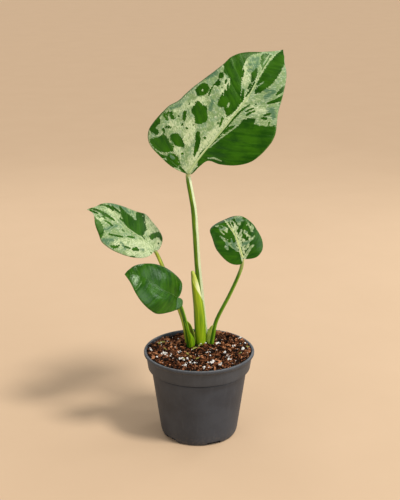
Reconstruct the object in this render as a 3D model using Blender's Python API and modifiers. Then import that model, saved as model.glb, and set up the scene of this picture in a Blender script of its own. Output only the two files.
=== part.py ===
"""A young variegated monstera in a round nursery pot.

Run with: blender --background --python part.py

The frame is metres with +Z up. The origin is the middle of the pot's underside, on the surface that
the pot stands on, and -Y is the side that the leaves face. Sizes below are in millimetres and are
turned to metres by MM where a shape is made.

The pot is one thin moulded shell. It holds a plug of potting mix with sockets for the stalks. Four
petioles carry four blades. A rolled new leaf lies against the tallest petiole, two short sheaths clasp
the feet of two others, and loose perlite, bark and a dead scale lie on the mix.
"""

import math

import bmesh
import bpy
from mathutils import Matrix, Vector
from mathutils.bvhtree import BVHTree

MM = 0.001
GAP = 0.3  # left between pieces that touch
REST_GAP = 0.4  # under what lies loose on the mix
DROP_HEIGHT = 110.0  # where loose pieces start before they are lowered onto the mix

# The pot
RIM_RADIUS = 60.0
POT_HEIGHT = 96.0
LIP_WIDTH = 3.0
WALL = 1.3
COLLAR_FOOT = 75.5  # height of the step under the collar
FOOT_RADIUS = 39.6
CHANNEL_HEIGHT = 3.0  # of the drain channel under the floor
CHANNEL_INNER, CHANNEL_OUTER = 20.5, 36.0
FLOOR = 1.4
FLOOR_RADIUS = 39.4
DRAINS = 5
FIRST_DRAIN = math.radians(23)  # from the front towards +X
NOTCH_WIDTH = 16.0
DRAIN_RADIUS = 4.0
TURN_STEPS = 40

# The potting mix
MIX_EDGE = 92.3  # height of the mix where it meets the wall
MIX_RADIUS = 55.9
MOUND_HEIGHT = 2.6
MOUND_SPREAD = 16.0
STEM_Y = 12.0  # the stalks stand a little behind the pot's axis
SOCKET_ROOM = 1.2  # under each stalk's foot
SOCKET_PLAY = 0.45  # round each stalk's foot
SOCKET_TOP = 112.0

# The blades
BLADE_THICKNESS = 0.8
VEIN_LEAN = 0.55  # how far a side vein leans towards the tip, per unit that it goes outwards
VEIN_BOW = 0.55  # where a side vein bends, as a share of its width
VEIN_SAG = 0.17  # how much lower than that it bends, as a share of its rise
MARGIN_MERGE = 0.02
HALF_COLUMNS = 5
STATIONS = 16  # points on each midrib where side veins start


def clear_scene():
    for thing in list(bpy.data.objects):
        bpy.data.objects.remove(thing)


def collection(name):
    made = bpy.data.collections.new(name)
    bpy.context.scene.collection.children.link(made)
    return made


def material(name, colour, roughness):
    made = bpy.data.materials.new(name)
    made.use_nodes = True
    shader = made.node_tree.nodes["Principled BSDF"]
    shader.inputs["Base Color"].default_value = (*colour, 1)
    shader.inputs["Roughness"].default_value = roughness
    shader.inputs["Metallic"].default_value = 0
    return made


def add_object(name, data, group, finish=None):
    made = bpy.data.objects.new(name, data)
    group.objects.link(made)
    if finish:
        data.materials.append(finish)
    return made


def add_bmesh(name, bm, group, finish=None):
    mesh = bpy.data.meshes.new(name)
    bm.to_mesh(mesh)
    bm.free()
    return add_object(name, mesh, group, finish)


def smooth_shading(thing, angle=35):
    thing.data.shade_smooth()
    thing.data.set_sharp_from_angle(angle=math.radians(angle))


def hide_cutter(thing):
    thing.hide_render = True
    thing.display_type = "WIRE"


def cut(target, cutter):
    boolean = target.modifiers.new("Cut " + cutter.name, "BOOLEAN")
    boolean.operation = "DIFFERENCE"
    boolean.object = cutter


def baked_mesh(thing):
    """The object's mesh with its modifiers applied and its caps welded."""
    bpy.context.view_layer.update()
    evaluated = thing.evaluated_get(bpy.context.evaluated_depsgraph_get())
    mesh = bpy.data.meshes.new_from_object(evaluated)
    bm = bmesh.new()
    bm.from_mesh(mesh)
    bmesh.ops.remove_doubles(bm, verts=bm.verts, dist=0.01 * MM)
    bm.to_mesh(mesh)
    bm.free()
    return mesh


# Smooth curves through a few points


def through(points, steps=12):
    """A Catmull-Rom curve through the points, which may be 2D, 3D or 3D with a radius."""
    points = [Vector(p) for p in points]
    points = [2 * points[0] - points[1], *points, 2 * points[-1] - points[-2]]
    curve = []
    for a, b, c, d in zip(points, points[1:], points[2:], points[3:]):
        for k in range(steps):
            u = k / steps
            square, cube = 2 * a - 5 * b + 4 * c - d, 3 * b - a - 3 * c + d
            curve.append(0.5 * (2 * b + (c - a) * u + square * u**2 + cube * u**3))
    return [*curve, points[-2]]


def spaced(curve, count):
    """count + 1 points at equal distances along a polyline, by its first three coordinates."""
    lengths = [0.0]
    for a, b in zip(curve, curve[1:]):
        lengths.append(lengths[-1] + (b - a).length)
    made, span = [], 0
    for k in range(count + 1):
        target = lengths[-1] * k / count
        while span < len(curve) - 2 and lengths[span + 1] < target:
            span += 1
        share = (target - lengths[span]) / (lengths[span + 1] - lengths[span])
        made.append(curve[span].lerp(curve[span + 1], min(max(share, 0), 1)))
    return made


def value_at(curve, key, wanted):
    """The point of a polyline whose coordinate number key is wanted, where that coordinate grows."""
    for a, b in zip(curve, curve[1:]):
        if b[key] >= wanted:
            share = (wanted - a[key]) / max(b[key] - a[key], 1e-9)
            return a.lerp(b, min(max(share, 0), 1))
    return curve[-1]


# The pot and the mix


def turned(name, profile, group, finish=None):
    """Turns a profile of (radius, height) points about Z. It runs down its outer side."""
    bm = bmesh.new()
    verts = [bm.verts.new((r * MM, 0, z * MM)) for r, z in profile]
    for a, b in zip(verts, verts[1:]):
        bm.edges.new((a, b))
    thing = add_bmesh(name, bm, group, finish)
    screw = thing.modifiers.new("Turn", "SCREW")
    screw.steps = screw.render_steps = TURN_STEPS
    screw.use_merge_vertices = True
    screw.merge_threshold = 0.0001
    return thing


def inner_wall(inset):
    """The pot's inner wall from the floor's edge up to just under the lip, moved in by inset."""
    outer = [
        (42.4, 6.0),
        (52.4, COLLAR_FOOT - 0.7),
        (55.6, COLLAR_FOOT + 2.3),
        (57.2, 88.0),
        (57.6, 91.2),
    ]
    return [(r - WALL - inset, z) for r, z in outer]


def make_pot(group, cutters, finish):
    top_of_floor = CHANNEL_HEIGHT + FLOOR
    inside = [
        (0, FLOOR),
        (CHANNEL_INNER - 2.5, FLOOR),
        (CHANNEL_INNER, top_of_floor),
        (FLOOR_RADIUS, top_of_floor),
    ]
    lip = [
        (RIM_RADIUS - LIP_WIDTH, POT_HEIGHT - 0.8),
        (RIM_RADIUS - LIP_WIDTH + 0.7, POT_HEIGHT),
        (RIM_RADIUS - 0.9, POT_HEIGHT),
        (RIM_RADIUS, POT_HEIGHT - 0.9),
        (RIM_RADIUS, 93.0),
    ]
    outside = [
        (57.6, 91.2),
        (57.2, 88.0),
        (55.6, COLLAR_FOOT + 2),
        (52.4, COLLAR_FOOT),
        (52.2, COLLAR_FOOT - 1.4),
    ]
    foot = [(42.4, 6.0), (41.3, 2.0), (FOOT_RADIUS, 0), (CHANNEL_OUTER, 0)]
    channel = [
        (CHANNEL_OUTER - 0.6, CHANNEL_HEIGHT),
        (CHANNEL_INNER + 0.6, CHANNEL_HEIGHT),
        (CHANNEL_INNER, 0),
        (0, 0),
    ]
    pot = turned("nursery_pot", inside + inner_wall(0) + lip + outside + foot + channel, group, finish)

    for k in range(DRAINS):
        angle = FIRST_DRAIN + k * math.tau / DRAINS
        out = Vector((math.sin(angle), -math.cos(angle), 0))
        turn = Matrix.Rotation(angle, 4, "Z")

        bm = bmesh.new()
        bmesh.ops.create_cube(bm, size=1)
        bmesh.ops.scale(bm, vec=Vector((NOTCH_WIDTH, 14, 2 * (CHANNEL_HEIGHT - 0.2))) * MM, verts=bm.verts)
        bmesh.ops.bevel(
            bm,
            geom=[e for e in bm.edges if abs(e.verts[0].co.y - e.verts[1].co.y) > MM],
            offset=1.2 * MM,
            segments=2,
            profile=0.5,
            affect="EDGES",
        )
        bmesh.ops.transform(bm, matrix=Matrix.Translation(out * 40.5 * MM) @ turn, verts=bm.verts)
        notch = add_bmesh(f"notch_{k + 1}", bm, cutters)

        bm = bmesh.new()
        bmesh.ops.create_cone(
            bm, cap_ends=True, segments=16, radius1=DRAIN_RADIUS * MM, radius2=DRAIN_RADIUS * MM, depth=6 * MM
        )
        hole_place = out * 28 * MM + Vector((0, 0, (CHANNEL_HEIGHT + FLOOR / 2) * MM))
        bmesh.ops.translate(bm, vec=hole_place, verts=bm.verts)
        hole = add_bmesh(f"drain_hole_{k + 1}", bm, cutters)

        for cutter in (notch, hole):
            hide_cutter(cutter)
            cut(pot, cutter)
    smooth_shading(pot)
    return pot


def mix_top(x, y):
    """Height of the mix: level at the wall, mounded round the stalks, lower at the back left."""
    reach = math.hypot(x, y) / MIX_RADIUS
    mound = MOUND_HEIGHT * math.exp(-(x**2 + (y - STEM_Y) ** 2) / (2 * MOUND_SPREAD**2))
    slope = 1.6 * (x / MIX_RADIUS) * max(0, 0.5 + 0.5 * y / MIX_RADIUS)
    lumps = 0.35 * math.sin(0.31 * x + 1.3) * math.sin(0.27 * y + 0.4)
    return MIX_EDGE + 0.5 * (1 - reach**2) + mound + slope + lumps


def make_mix(group, finish, guides):
    top = MIX_EDGE
    over_channel = CHANNEL_HEIGHT + FLOOR + GAP
    below = [
        (0, FLOOR + GAP),
        (CHANNEL_INNER - 3, FLOOR + GAP),
        (CHANNEL_INNER - 0.4, over_channel),
        (FLOOR_RADIUS - 0.5, over_channel),
    ]
    rings = [(r, top) for r in (MIX_RADIUS, 50.0, 41.0, 32.0, 24.0, 16.0, 8.0, 0)]
    profile = below + inner_wall(GAP + 0.05) + rings
    blank = turned("mix_blank", profile[::-1], guides)
    mesh = baked_mesh(blank)
    mesh.name = "potting_mix"
    bpy.data.objects.remove(blank)
    for vert in mesh.vertices:
        if vert.co.z > (top - 0.1) * MM:
            vert.co.z = mix_top(vert.co.x / MM, vert.co.y / MM) * MM
    return add_object("potting_mix", mesh, group, finish)


# The blades


class Blade:
    """A leaf blade: an outline on a plane, then arched, folded at the midrib and curled at the tip.

    x runs across to the leaf's right, y along from the stalk to the tip, both on the flat outline.
    """

    def __init__(self, base, tip, facing, midrib, left, right, arch, fold, droop, curl, margin_steps=26):
        self.base = Vector(base)
        self.along = (Vector(tip) - self.base).normalized()
        self.across = self.along.cross(Vector(facing)).normalized()
        self.up = self.across.cross(self.along)
        self.midrib = through(midrib)
        self.sides = (through(left), through(right))
        self.length = self.midrib[-1].y
        self.arch, self.fold, self.droop = arch, fold, droop
        self.curl_start, self.curl_radius = curl
        self.margin_steps = margin_steps

    def place(self, x, y, lift=0.0):
        """The point in space, in millimetres, of a point on the flat outline."""
        centre = value_at(self.midrib, 1, min(max(y, 0), self.length)).x
        side = int(x > centre)
        across, share = x - centre, max(y, 0) / self.length
        height = 4 * self.arch * share * (1 - share) + lift
        height += self.fold[side] * (math.hypot(across, 4) - 4) - self.droop[side] * across**2
        bend = max(0, y - self.curl_start) / self.curl_radius
        if bend:
            y = self.curl_start + self.curl_radius * math.sin(bend)
            height -= self.curl_radius * (1 - math.cos(bend))
        return self.base + self.across * x + self.along * y + self.up * height

    def rows(self, side):
        """(height on the midrib, point on the margin) pairs, from the stalk to the tip.

        Each pair is the two ends of a side vein. Both halves use the same stations on the midrib.
        """
        margin = spaced(self.sides[side], self.margin_steps)
        step = self.length / STATIONS
        made, station = [(0.0, margin[0])], 0
        for before, here in zip(margin, margin[1:]):
            out, rise = abs(here.x) - abs(before.x), here.y - before.y
            root = here.y - VEIN_LEAN * abs(here.x)
            if out > 0 and rise > 0:  # the vein starts above the line of a margin that still widens
                root = max(root, here.y - abs(here.x) * rise / out + 0.5)
            wanted = min(max(math.ceil(root / step - 0.2), station), STATIONS)
            for k in range(station + 1, wanted):
                made.append((k * step, here))
            station = wanted
            made.append((station * step, here))
        for k in range(station + 1, STATIONS + 1):
            made.append((k * step, margin[-1]))
        return made

    def vein(self, root, end, share):
        """A point on the curved side vein that joins the midrib at root to the margin at end."""
        start = Vector((value_at(self.midrib, 1, root).x, root))
        forward = min(max((end.y - root) / (0.12 * self.length), 0), 1)
        rise = (VEIN_BOW - VEIN_SAG * forward) * (end.y - start.y)
        bow = start + Vector((VEIN_BOW * (end.x - start.x), rise))
        return start * (1 - share) ** 2 + bow * 2 * share * (1 - share) + end * share**2

    def half(self, bm, side):
        rows = self.rows(side)
        grid = bmesh.ops.create_grid(bm, x_segments=len(rows) - 1, y_segments=HALF_COLUMNS, size=0.5)
        for vert in grid["verts"]:
            row = round((vert.co.x + 0.5) * (len(rows) - 1))
            share = vert.co.y + 0.5
            flat = self.vein(*rows[row], share)
            vert.co = self.place(flat.x, flat.y) * MM

    def seat(self, back, along=4.0):
        """Where a stalk ends: behind the midrib, near the blade's base."""
        return self.place(0, along, -back)


def make_blade(name, blade, group, finish):
    bm = bmesh.new()
    for side in (0, 1):
        blade.half(bm, side)
    bmesh.ops.remove_doubles(bm, verts=bm.verts, dist=MARGIN_MERGE * MM)
    bmesh.ops.recalc_face_normals(bm, faces=bm.faces)
    if sum((f.normal * f.calc_area() for f in bm.faces), Vector()).dot(blade.up) < 0:
        bmesh.ops.reverse_faces(bm, faces=bm.faces)
    leaf = add_bmesh(name, bm, group, finish)
    solid = leaf.modifiers.new("Thickness", "SOLIDIFY")
    solid.thickness = BLADE_THICKNESS * MM
    solid.offset = 0
    smooth_shading(leaf, 50)
    return leaf


MAIN = Blade(
    base=(-12, 10, 289),
    tip=(89, 62, 409),
    facing=(-0.06, -0.90, 0.44),
    midrib=[(0, 0), (0, 25), (2, 60), (2, 100), (-3, 128), (-6, 150), (-3, 162), (2, 168)],
    left=[
        (0, 0),
        (-16, -4),
        (-33, -3),
        (-51, 1),
        (-61, 10),
        (-64, 22),
        (-61, 43),
        (-54, 56),
        (-52, 68),
        (-46, 91),
        (-40, 113),
        (-38, 126),
        (-31, 138),
        (-17, 152),
        (-8, 163),
        (-3, 168),
        (2, 168),
    ],
    right=[
        (0, 0),
        (3, 15),
        (9, 24),
        (22, 27),
        (36, 36),
        (47, 50),
        (51, 70),
        (49, 86),
        (38, 105),
        (31, 122),
        (20, 144),
        (8, 157),
        (4, 163),
        (2, 168),
    ],
    arch=9,
    fold=(0.26, 0.30),
    droop=(0.0042, 0.0055),
    curl=(116, 120),
    margin_steps=36,
)

LEFT = Blade(
    base=(-48.5, 30, 200),
    tip=(-118, 8, 252),
    facing=(0.57, -0.66, 0.49),
    midrib=[(0, 0), (-1, 27), (1, 56), (4, 76), (3, 88)],
    left=[
        (0, 0),
        (-5, 1),
        (-12, 5),
        (-20, 14),
        (-27, 29),
        (-30, 46),
        (-28, 61),
        (-22, 68),
        (-12, 76),
        (-1, 81),
        (3, 88),
    ],
    right=[
        (0, 0),
        (3, -5),
        (15, -5),
        (22, 1),
        (26, 14),
        (29, 26),
        (25, 39),
        (21, 58),
        (16, 74),
        (8, 82),
        (3, 88),
    ],
    arch=6,
    fold=(0.22, 0.22),
    droop=(0.006, 0.006),
    curl=(62, 45),
)

FRONT = Blade(
    base=(-23.5, -2, 156.5),
    tip=(-76, -34, 194),
    facing=(0.67, -0.62, 0.41),
    midrib=[(0, 0), (-1, 29), (3, 52), (2, 70)],
    left=[
        (0, 0),
        (1, -6),
        (-2, -9),
        (-9, -7),
        (-18, 5),
        (-27, 22),
        (-28, 33),
        (-24, 46),
        (-16, 57),
        (-6, 64),
        (2, 70),
    ],
    right=[(0, 0), (3, -3), (12, -4), (20, -1), (23, 10), (24, 27), (22, 42), (15, 60), (8, 67), (2, 70)],
    arch=6,
    fold=(0.25, 0.25),
    droop=(0.008, 0.008),
    curl=(50, 38),
)

RIGHT = Blade(
    base=(46.5, 2, 199.5),
    tip=(26.5, 20, 239.5),
    facing=(0.02, -0.91, 0.42),
    midrib=[(0, 0), (3, 14), (3, 28), (0, 40), (0, 58)],
    left=[
        (0, 0),
        (-4, -5),
        (-12, -2),
        (-18, 6),
        (-22, 20),
        (-21, 32),
        (-20, 41),
        (-16, 46),
        (-10, 50),
        (-4, 54),
        (0, 58),
    ],
    right=[
        (0, 0),
        (4, -3),
        (14, -5),
        (23, 0),
        (27, 10),
        (26, 23),
        (24, 31),
        (19, 40),
        (14, 45),
        (8, 50),
        (3, 54),
        (0, 58),
    ],
    arch=3,
    fold=(0.18, 0.18),
    droop=(0.005, 0.005),
    curl=(36, 12),
)


# The stalks


def tube(name, points, group, finish=None, grow=0.0, bevel_steps=3):
    """A round stalk through (x, y, z, radius) points, all in millimetres."""
    curve = bpy.data.curves.new(name, "CURVE")
    curve.dimensions = "3D"
    curve.bevel_depth = MM
    curve.bevel_resolution = bevel_steps
    curve.use_fill_caps = True
    spline = curve.splines.new("POLY")
    spline.points.add(len(points) - 1)
    for point, (x, y, z, radius) in zip(spline.points, points):
        point.co = (x * MM, y * MM, z * MM, 1)
        point.radius = radius + grow
    return add_object(name, curve, group, finish)


def stalk_route(points, blade, end_radius, count=20):
    """The stalk's points: by hand from the mix up, then into its seat behind the blade."""
    near = blade.seat(BLADE_THICKNESS / 2 + GAP + 0.2 + end_radius)
    return spaced(through([*points, (*near, end_radius)]), count)


MAIN_ROUTE = stalk_route(
    [
        (5, 26, 80, 4.4),
        (4.6, 25.5, 92, 4.4),
        (3.5, 24, 112, 4.2),
        (2.4, 21.5, 135, 4.0),
        (1, 18.5, 158, 3.7),
        (-1.7, 16.3, 190, 3.4),
        (-5, 14.7, 243, 3.15),
        (-7.5, 14.3, 262, 3.0),
        (-10.2, 14.4, 277, 2.9),
        (-11.6, 15.2, 286, 2.5),
    ],
    MAIN,
    2.2,
    26,
)
LEFT_ROUTE = stalk_route(
    [
        (-11.3, 17, 80, 3.2),
        (-11.9, 18, 90, 3.1),
        (-13.6, 19.7, 103, 2.8),
        (-18.2, 22.2, 123, 2.3),
        (-27.3, 25.5, 147, 2.1),
        (-38, 29.8, 176, 2.1),
        (-45.9, 33.2, 194, 2.0),
    ],
    LEFT,
    1.7,
)
FRONT_ROUTE = stalk_route(
    [
        (-9.4, 10.5, 80, 3.4),
        (-9.9, 10, 94, 3.4),
        (-11.5, 8.7, 105.5, 3.0),
        (-13.6, 7.2, 118, 2.5),
        (-16.3, 5.8, 131, 2.2),
        (-20, 4.6, 144, 2.1),
    ],
    FRONT,
    1.8,
)
RIGHT_ROUTE = stalk_route(
    [
        (12.8, 18.5, 80, 2.8),
        (13.4, 18, 93, 2.8),
        (15, 16.7, 104.5, 2.5),
        (19.4, 14.4, 125, 2.1),
        (33, 11, 155, 1.9),
        (42.3, 8.5, 178, 1.7),
        (45.8, 7.5, 190, 1.6),
    ],
    RIGHT,
    1.4,
)

# The rolled new leaf, before it is pressed against the main petiole
SPEAR_ROUTE = through(
    [
        (2, 17.9, 83, 6.0),
        (1.8, 17.3, 91, 6.0),
        (1.4, 15.8, 111, 6.0),
        (1, 14.6, 125, 5.8),
        (0, 13.5, 138, 5.3),
        (-1.5, 12.5, 149, 4.7),
        (-3, 11.9, 160, 4.2),
        (-4.2, 11.5, 170, 3.7),
        (-5.2, 11.7, 176, 3.0),
        (-6.2, 12, 181, 1.9),
        (-6.6, 12.1, 183, 0.9),
    ],
    3,
)


def make_spear(group, guides, finish):
    """The rolled leaf is a tapered tube whose back is hollowed to fit round the main petiole."""
    guide = tube("spear_guide", SPEAR_ROUTE, guides, bevel_steps=8)
    mesh = baked_mesh(guide)
    mesh.name = "new_leaf_spear"
    bpy.data.objects.remove(guide)
    foot = min(vert.co.z for vert in mesh.vertices)
    for vert in mesh.vertices:
        if vert.co.z < foot + 2 * MM:  # a level foot, so that its hollow outline stays flat
            vert.co.z = foot
        axis = value_at(MAIN_ROUTE, 2, vert.co.z / MM)
        away = Vector((vert.co.x / MM - axis.x, vert.co.y / MM - axis.y))
        clear = axis.w + 2 * GAP
        if away.length < clear:
            away = away.normalized() * clear
            vert.co.x, vert.co.y = (axis.x + away.x) * MM, (axis.y + away.y) * MM
    return add_object("new_leaf_spear", mesh, group, finish)


def make_sheath(name, route, low, high, towards, flare, group, finish):
    """A thin pouch round one side of a stalk's foot, wide at mid height and pointed at the top."""
    rows, columns, half_turn = 10, 10, math.radians(105)
    clearance = GAP + 0.55
    side = Vector((*towards, 0)).normalized()
    front = Vector((0, 0, 1)).cross(side)
    bm = bmesh.new()
    grid = bmesh.ops.create_grid(bm, x_segments=rows, y_segments=columns, size=0.5)
    for vert in grid["verts"]:
        up, turn = vert.co.x + 0.5, vert.co.y * 2
        axis = value_at(route, 2, low + (high - low) * up)
        narrow = math.sqrt(max(1 - up**2.6, 0.02))
        angle = turn * half_turn * narrow
        reach = axis.w + clearance + flare * math.sin(math.pi * up**0.9) * math.cos(angle / 1.6) ** 2
        around = side * math.cos(angle) + front * math.sin(angle)
        vert.co = (axis.to_3d() + around * reach) * MM
    bmesh.ops.recalc_face_normals(bm, faces=bm.faces)
    sheath = add_bmesh(name, bm, group, finish)
    solid = sheath.modifiers.new("Thickness", "SOLIDIFY")
    solid.thickness = 0.7 * MM
    solid.offset = 0
    smooth_shading(sheath, 50)
    return sheath


# What lies on the mix


def drop_on(thing, ground):
    """Lowers a loose mesh until its nearest corner is just above the ground."""
    drops = []
    for vert in thing.data.vertices:
        hit = ground.ray_cast(vert.co, Vector((0, 0, -1)))
        if hit[0]:
            drops.append(hit[3])
    for vert in thing.data.vertices:
        vert.co.z -= min(drops) - REST_GAP * MM


GRAINS = [  # perlite: x, y, width
    (-38, -13, 4.4),
    (-19, -28, 4.2),
    (-53, -3, 3.0),
    (14, -39, 4.6),
    (49, -3, 4.2),
    (28, -8, 3.4),
    (20, 13, 3.6),
    (5, -50, 3.2),
]
CHIPS = [  # bark: x, y, length, turn in degrees
    (-34, 20, 6.0, 30),
    (-45, 8, 5.0, 110),
    (-6, -14, 6.5, 75),
    (8, -22, 5.5, 160),
    (38, 24, 6.0, 50),
    (37, -18, 5.0, 140),
    (-28, -40, 5.5, 20),
    (30, 40, 5.0, 95),
]


def make_grain(name, x, y, width, seed, group, ground, finish):
    bm = bmesh.new()
    bmesh.ops.create_icosphere(bm, subdivisions=2, radius=width / 2 * MM)
    for vert in bm.verts:
        along = vert.co.normalized()
        vert.co *= 1 + 0.12 * math.sin(5 * along.x + seed) * math.sin(4 * along.y + 2 * seed)
        vert.co.z *= 0.8
    bmesh.ops.translate(bm, vec=Vector((x, y, DROP_HEIGHT)) * MM, verts=bm.verts)
    grain = add_bmesh(name, bm, group, finish)
    drop_on(grain, ground)
    return grain


def make_chip(name, x, y, length, turn, group, ground, finish):
    bm = bmesh.new()
    bmesh.ops.create_cube(bm, size=1)
    bmesh.ops.scale(bm, vec=Vector((length, 0.6 * length, 1.6)) * MM, verts=bm.verts)
    bmesh.ops.bevel(bm, geom=bm.edges[:], offset=0.5 * MM, segments=1, profile=0.5, affect="EDGES")
    spin = Matrix.Rotation(math.radians(turn), 4, "Z") @ Matrix.Rotation(math.radians(4), 4, "X")
    place = Matrix.Translation(Vector((x, y, DROP_HEIGHT)) * MM)
    bmesh.ops.transform(bm, matrix=place @ spin, verts=bm.verts)
    chip = add_bmesh(name, bm, group, finish)
    drop_on(chip, ground)
    return chip


def make_scale(group, guides, finish, ground):
    """The narrow dead scale leaf that lies in front of the stalks."""
    spine = [(-8, -3, 0.5), (-5.5, -1, 1.0), (-2, 2.5, 1.1), (0.5, 5.5, 0.9), (2, 8, 0.5)]
    points = [(x, y, DROP_HEIGHT, radius) for x, y, radius in spine]
    guide = tube("scale_guide", through(points, 3), guides, bevel_steps=2)
    mesh = baked_mesh(guide)
    mesh.name = "dry_scale_leaf"
    bpy.data.objects.remove(guide)
    for vert in mesh.vertices:
        x, y = vert.co.x / MM, vert.co.y / MM
        vert.co.z += (mix_top(x, y) - MIX_EDGE) * MM
    scale = add_object("dry_scale_leaf", mesh, group, finish)
    drop_on(scale, ground)
    return scale


def main():
    clear_scene()
    parts = collection("potted_monstera")
    cutters = collection("cutters")

    plastic = material("pot_plastic", (0.05, 0.05, 0.055), 0.5)
    mix_brown = material("potting_mix", (0.09, 0.04, 0.025), 0.95)
    variegated = material("variegated_leaf", (0.25, 0.42, 0.18), 0.35)
    green = material("green_leaf", (0.05, 0.2, 0.03), 0.3)
    stem_green = material("petiole", (0.2, 0.42, 0.05), 0.4)
    pale_green = material("sheath", (0.4, 0.55, 0.1), 0.45)
    white = material("perlite", (0.85, 0.84, 0.8), 0.9)
    bark = material("bark", (0.16, 0.06, 0.03), 0.9)

    make_pot(parts, cutters, plastic)
    mix = make_mix(parts, mix_brown, cutters)
    bpy.context.view_layer.update()
    ground = BVHTree.FromObject(mix, bpy.context.evaluated_depsgraph_get())

    routes = {
        "main_petiole": MAIN_ROUTE,
        "left_petiole": LEFT_ROUTE,
        "front_petiole": FRONT_ROUTE,
        "right_petiole": RIGHT_ROUTE,
    }
    sockets = {**routes, "new_leaf_spear": SPEAR_ROUTE}
    for name, route in sockets.items():
        foot = [Vector((p.x, p.y, p.z, p.w)) for p in route if p.z < SOCKET_TOP]
        foot[0] = foot[0] - Vector((0, 0, SOCKET_ROOM, 0))
        socket = tube(name + "_socket", foot, cutters, grow=SOCKET_PLAY, bevel_steps=4)
        mesh = baked_mesh(socket)
        bpy.data.objects.remove(socket)
        cutter = add_object(name + "_socket", mesh, cutters)
        hide_cutter(cutter)
        cut(mix, cutter)
    for name, route in routes.items():
        tube(name, route, parts, stem_green)

    make_spear(parts, cutters, pale_green)
    make_sheath("front_sheath", FRONT_ROUTE, 96.5, 129, (1, 0.15), 2.6, parts, pale_green)
    make_sheath("right_sheath", RIGHT_ROUTE, 96.5, 119, (-1, -0.1), 3.0, parts, pale_green)

    make_blade("main_leaf", MAIN, parts, variegated)
    make_blade("left_leaf", LEFT, parts, variegated)
    make_blade("front_leaf", FRONT, parts, green)
    make_blade("right_leaf", RIGHT, parts, variegated)

    for k, (x, y, width) in enumerate(GRAINS):
        make_grain(f"perlite_grain_{k + 1}", x, y, width, k, parts, ground, white)
    for k, (x, y, length, turn) in enumerate(CHIPS):
        make_chip(f"bark_chip_{k + 1}", x, y, length, turn, parts, ground, bark)
    make_scale(parts, cutters, pale_green, ground)


main()
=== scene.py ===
import math
import random

import bmesh
import bpy
import numpy as np
from mathutils import Matrix, Vector, noise


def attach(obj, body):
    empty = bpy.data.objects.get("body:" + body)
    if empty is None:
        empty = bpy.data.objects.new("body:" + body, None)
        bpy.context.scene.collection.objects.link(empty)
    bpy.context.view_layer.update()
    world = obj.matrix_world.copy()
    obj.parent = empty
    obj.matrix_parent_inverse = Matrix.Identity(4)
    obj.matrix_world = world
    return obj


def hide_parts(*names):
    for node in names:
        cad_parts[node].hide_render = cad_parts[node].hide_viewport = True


# A young variegated monstera in a nursery pot. Shapes are worked out in millimetres and turned to
# metres with mm. +Z is up and the blades face -Y.

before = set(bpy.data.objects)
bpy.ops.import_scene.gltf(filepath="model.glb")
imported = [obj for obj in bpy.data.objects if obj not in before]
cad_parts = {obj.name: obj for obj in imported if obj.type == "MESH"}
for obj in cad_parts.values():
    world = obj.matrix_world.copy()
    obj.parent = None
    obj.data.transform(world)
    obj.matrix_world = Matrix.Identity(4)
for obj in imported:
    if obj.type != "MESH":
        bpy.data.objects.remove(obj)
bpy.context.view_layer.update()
mm = 0.001
print("frame loaded:", len(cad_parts), "nodes")


# node helpers


class Nodes:
    # short ways to add and join shader nodes in one tree
    def __init__(self, tree):
        self.tree = tree

    def put(self, socket, value):
        # joins another node's output to the socket, or sets the socket's own value
        if hasattr(value, "is_linked"):
            self.tree.links.new(value, socket)
        else:
            socket.default_value = (*value, 1)[:4] if socket.type == "RGBA" else value

    def make(self, kind, inputs, output=0, **settings):
        # a new node with its inputs filled; gives back one of its outputs
        node = self.tree.nodes.new("ShaderNode" + kind)
        for key, value in settings.items():
            setattr(node, key, value)
        for key, value in inputs.items():
            self.put(node.inputs[key], value)
        return node.outputs[output]

    def math(self, operation, a, b):
        return self.make("Math", {0: a, 1: b}, operation=operation)

    def plus(self, a, b):
        return self.math("ADD", a, b)

    def times(self, a, b):
        return self.math("MULTIPLY", a, b)

    def scaled(self, value, centre, factor):
        return self.times(self.math("SUBTRACT", value, centre), factor)

    def weigh(self, *parts):
        # the sum of (value, weight) pairs
        total = self.times(*parts[0])
        for part in parts[1:]:
            total = self.plus(total, self.times(*part))
        return total

    def step(self, value, start, end):
        # 0 at start and 1 at end, smooth between; start may be the higher one
        inputs = {"Value": value, "From Min": start, "From Max": end}
        return self.make("MapRange", inputs, interpolation_type="SMOOTHSTEP")

    def band(self, value, low, lowFull, highFull, high):
        # 1 from lowFull to highFull, 0 below low and above high
        return self.times(self.step(value, low, lowFull), self.step(value, high, highFull))

    def mix(self, share, a, b):
        return self.make("Mix", {0: share, 6: a, 7: b}, output=2, data_type="RGBA")

    def tint(self, base, mask, strength, colour):
        # the base, turned towards the colour by this strength where the mask is 1
        return self.mix(self.times(mask, strength), base, colour)

    def stretch(self, vector, scales):
        return self.make("Mapping", {"Vector": vector, "Scale": scales})

    def noise(self, vector, scale, detail, rough, warp=0.0):
        inputs = {"Vector": vector, "Scale": scale, "Detail": detail, "Roughness": rough}
        return self.make("TexNoise", {**inputs, "Distortion": warp})

    def strands(self, vector, scales, detail, rough):
        # noise drawn out along the axis with the smallest scale
        return self.noise(self.stretch(vector, scales), 1.0, detail, rough)

    def attribute(self, name, output="Fac"):
        return self.make("Attribute", {}, output, attribute_name=name)

    def place(self):
        return self.make("TexCoord", {}, "Object")

    def split(self, vector):
        return self.make("SeparateXYZ", {0: vector}).node.outputs[:]

    def group(self, tree, inputs):
        return self.make("Group", inputs, node_tree=tree).node.outputs

    def surface(self, colour, height, depth, strength):
        # gives a material its colour and its relief, depth in metres
        relief = {"Height": height, "Distance": depth, "Strength": strength}
        self.put(self.shader["Base Color"], colour)
        self.put(self.shader["Normal"], self.make("Bump", relief))


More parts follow.
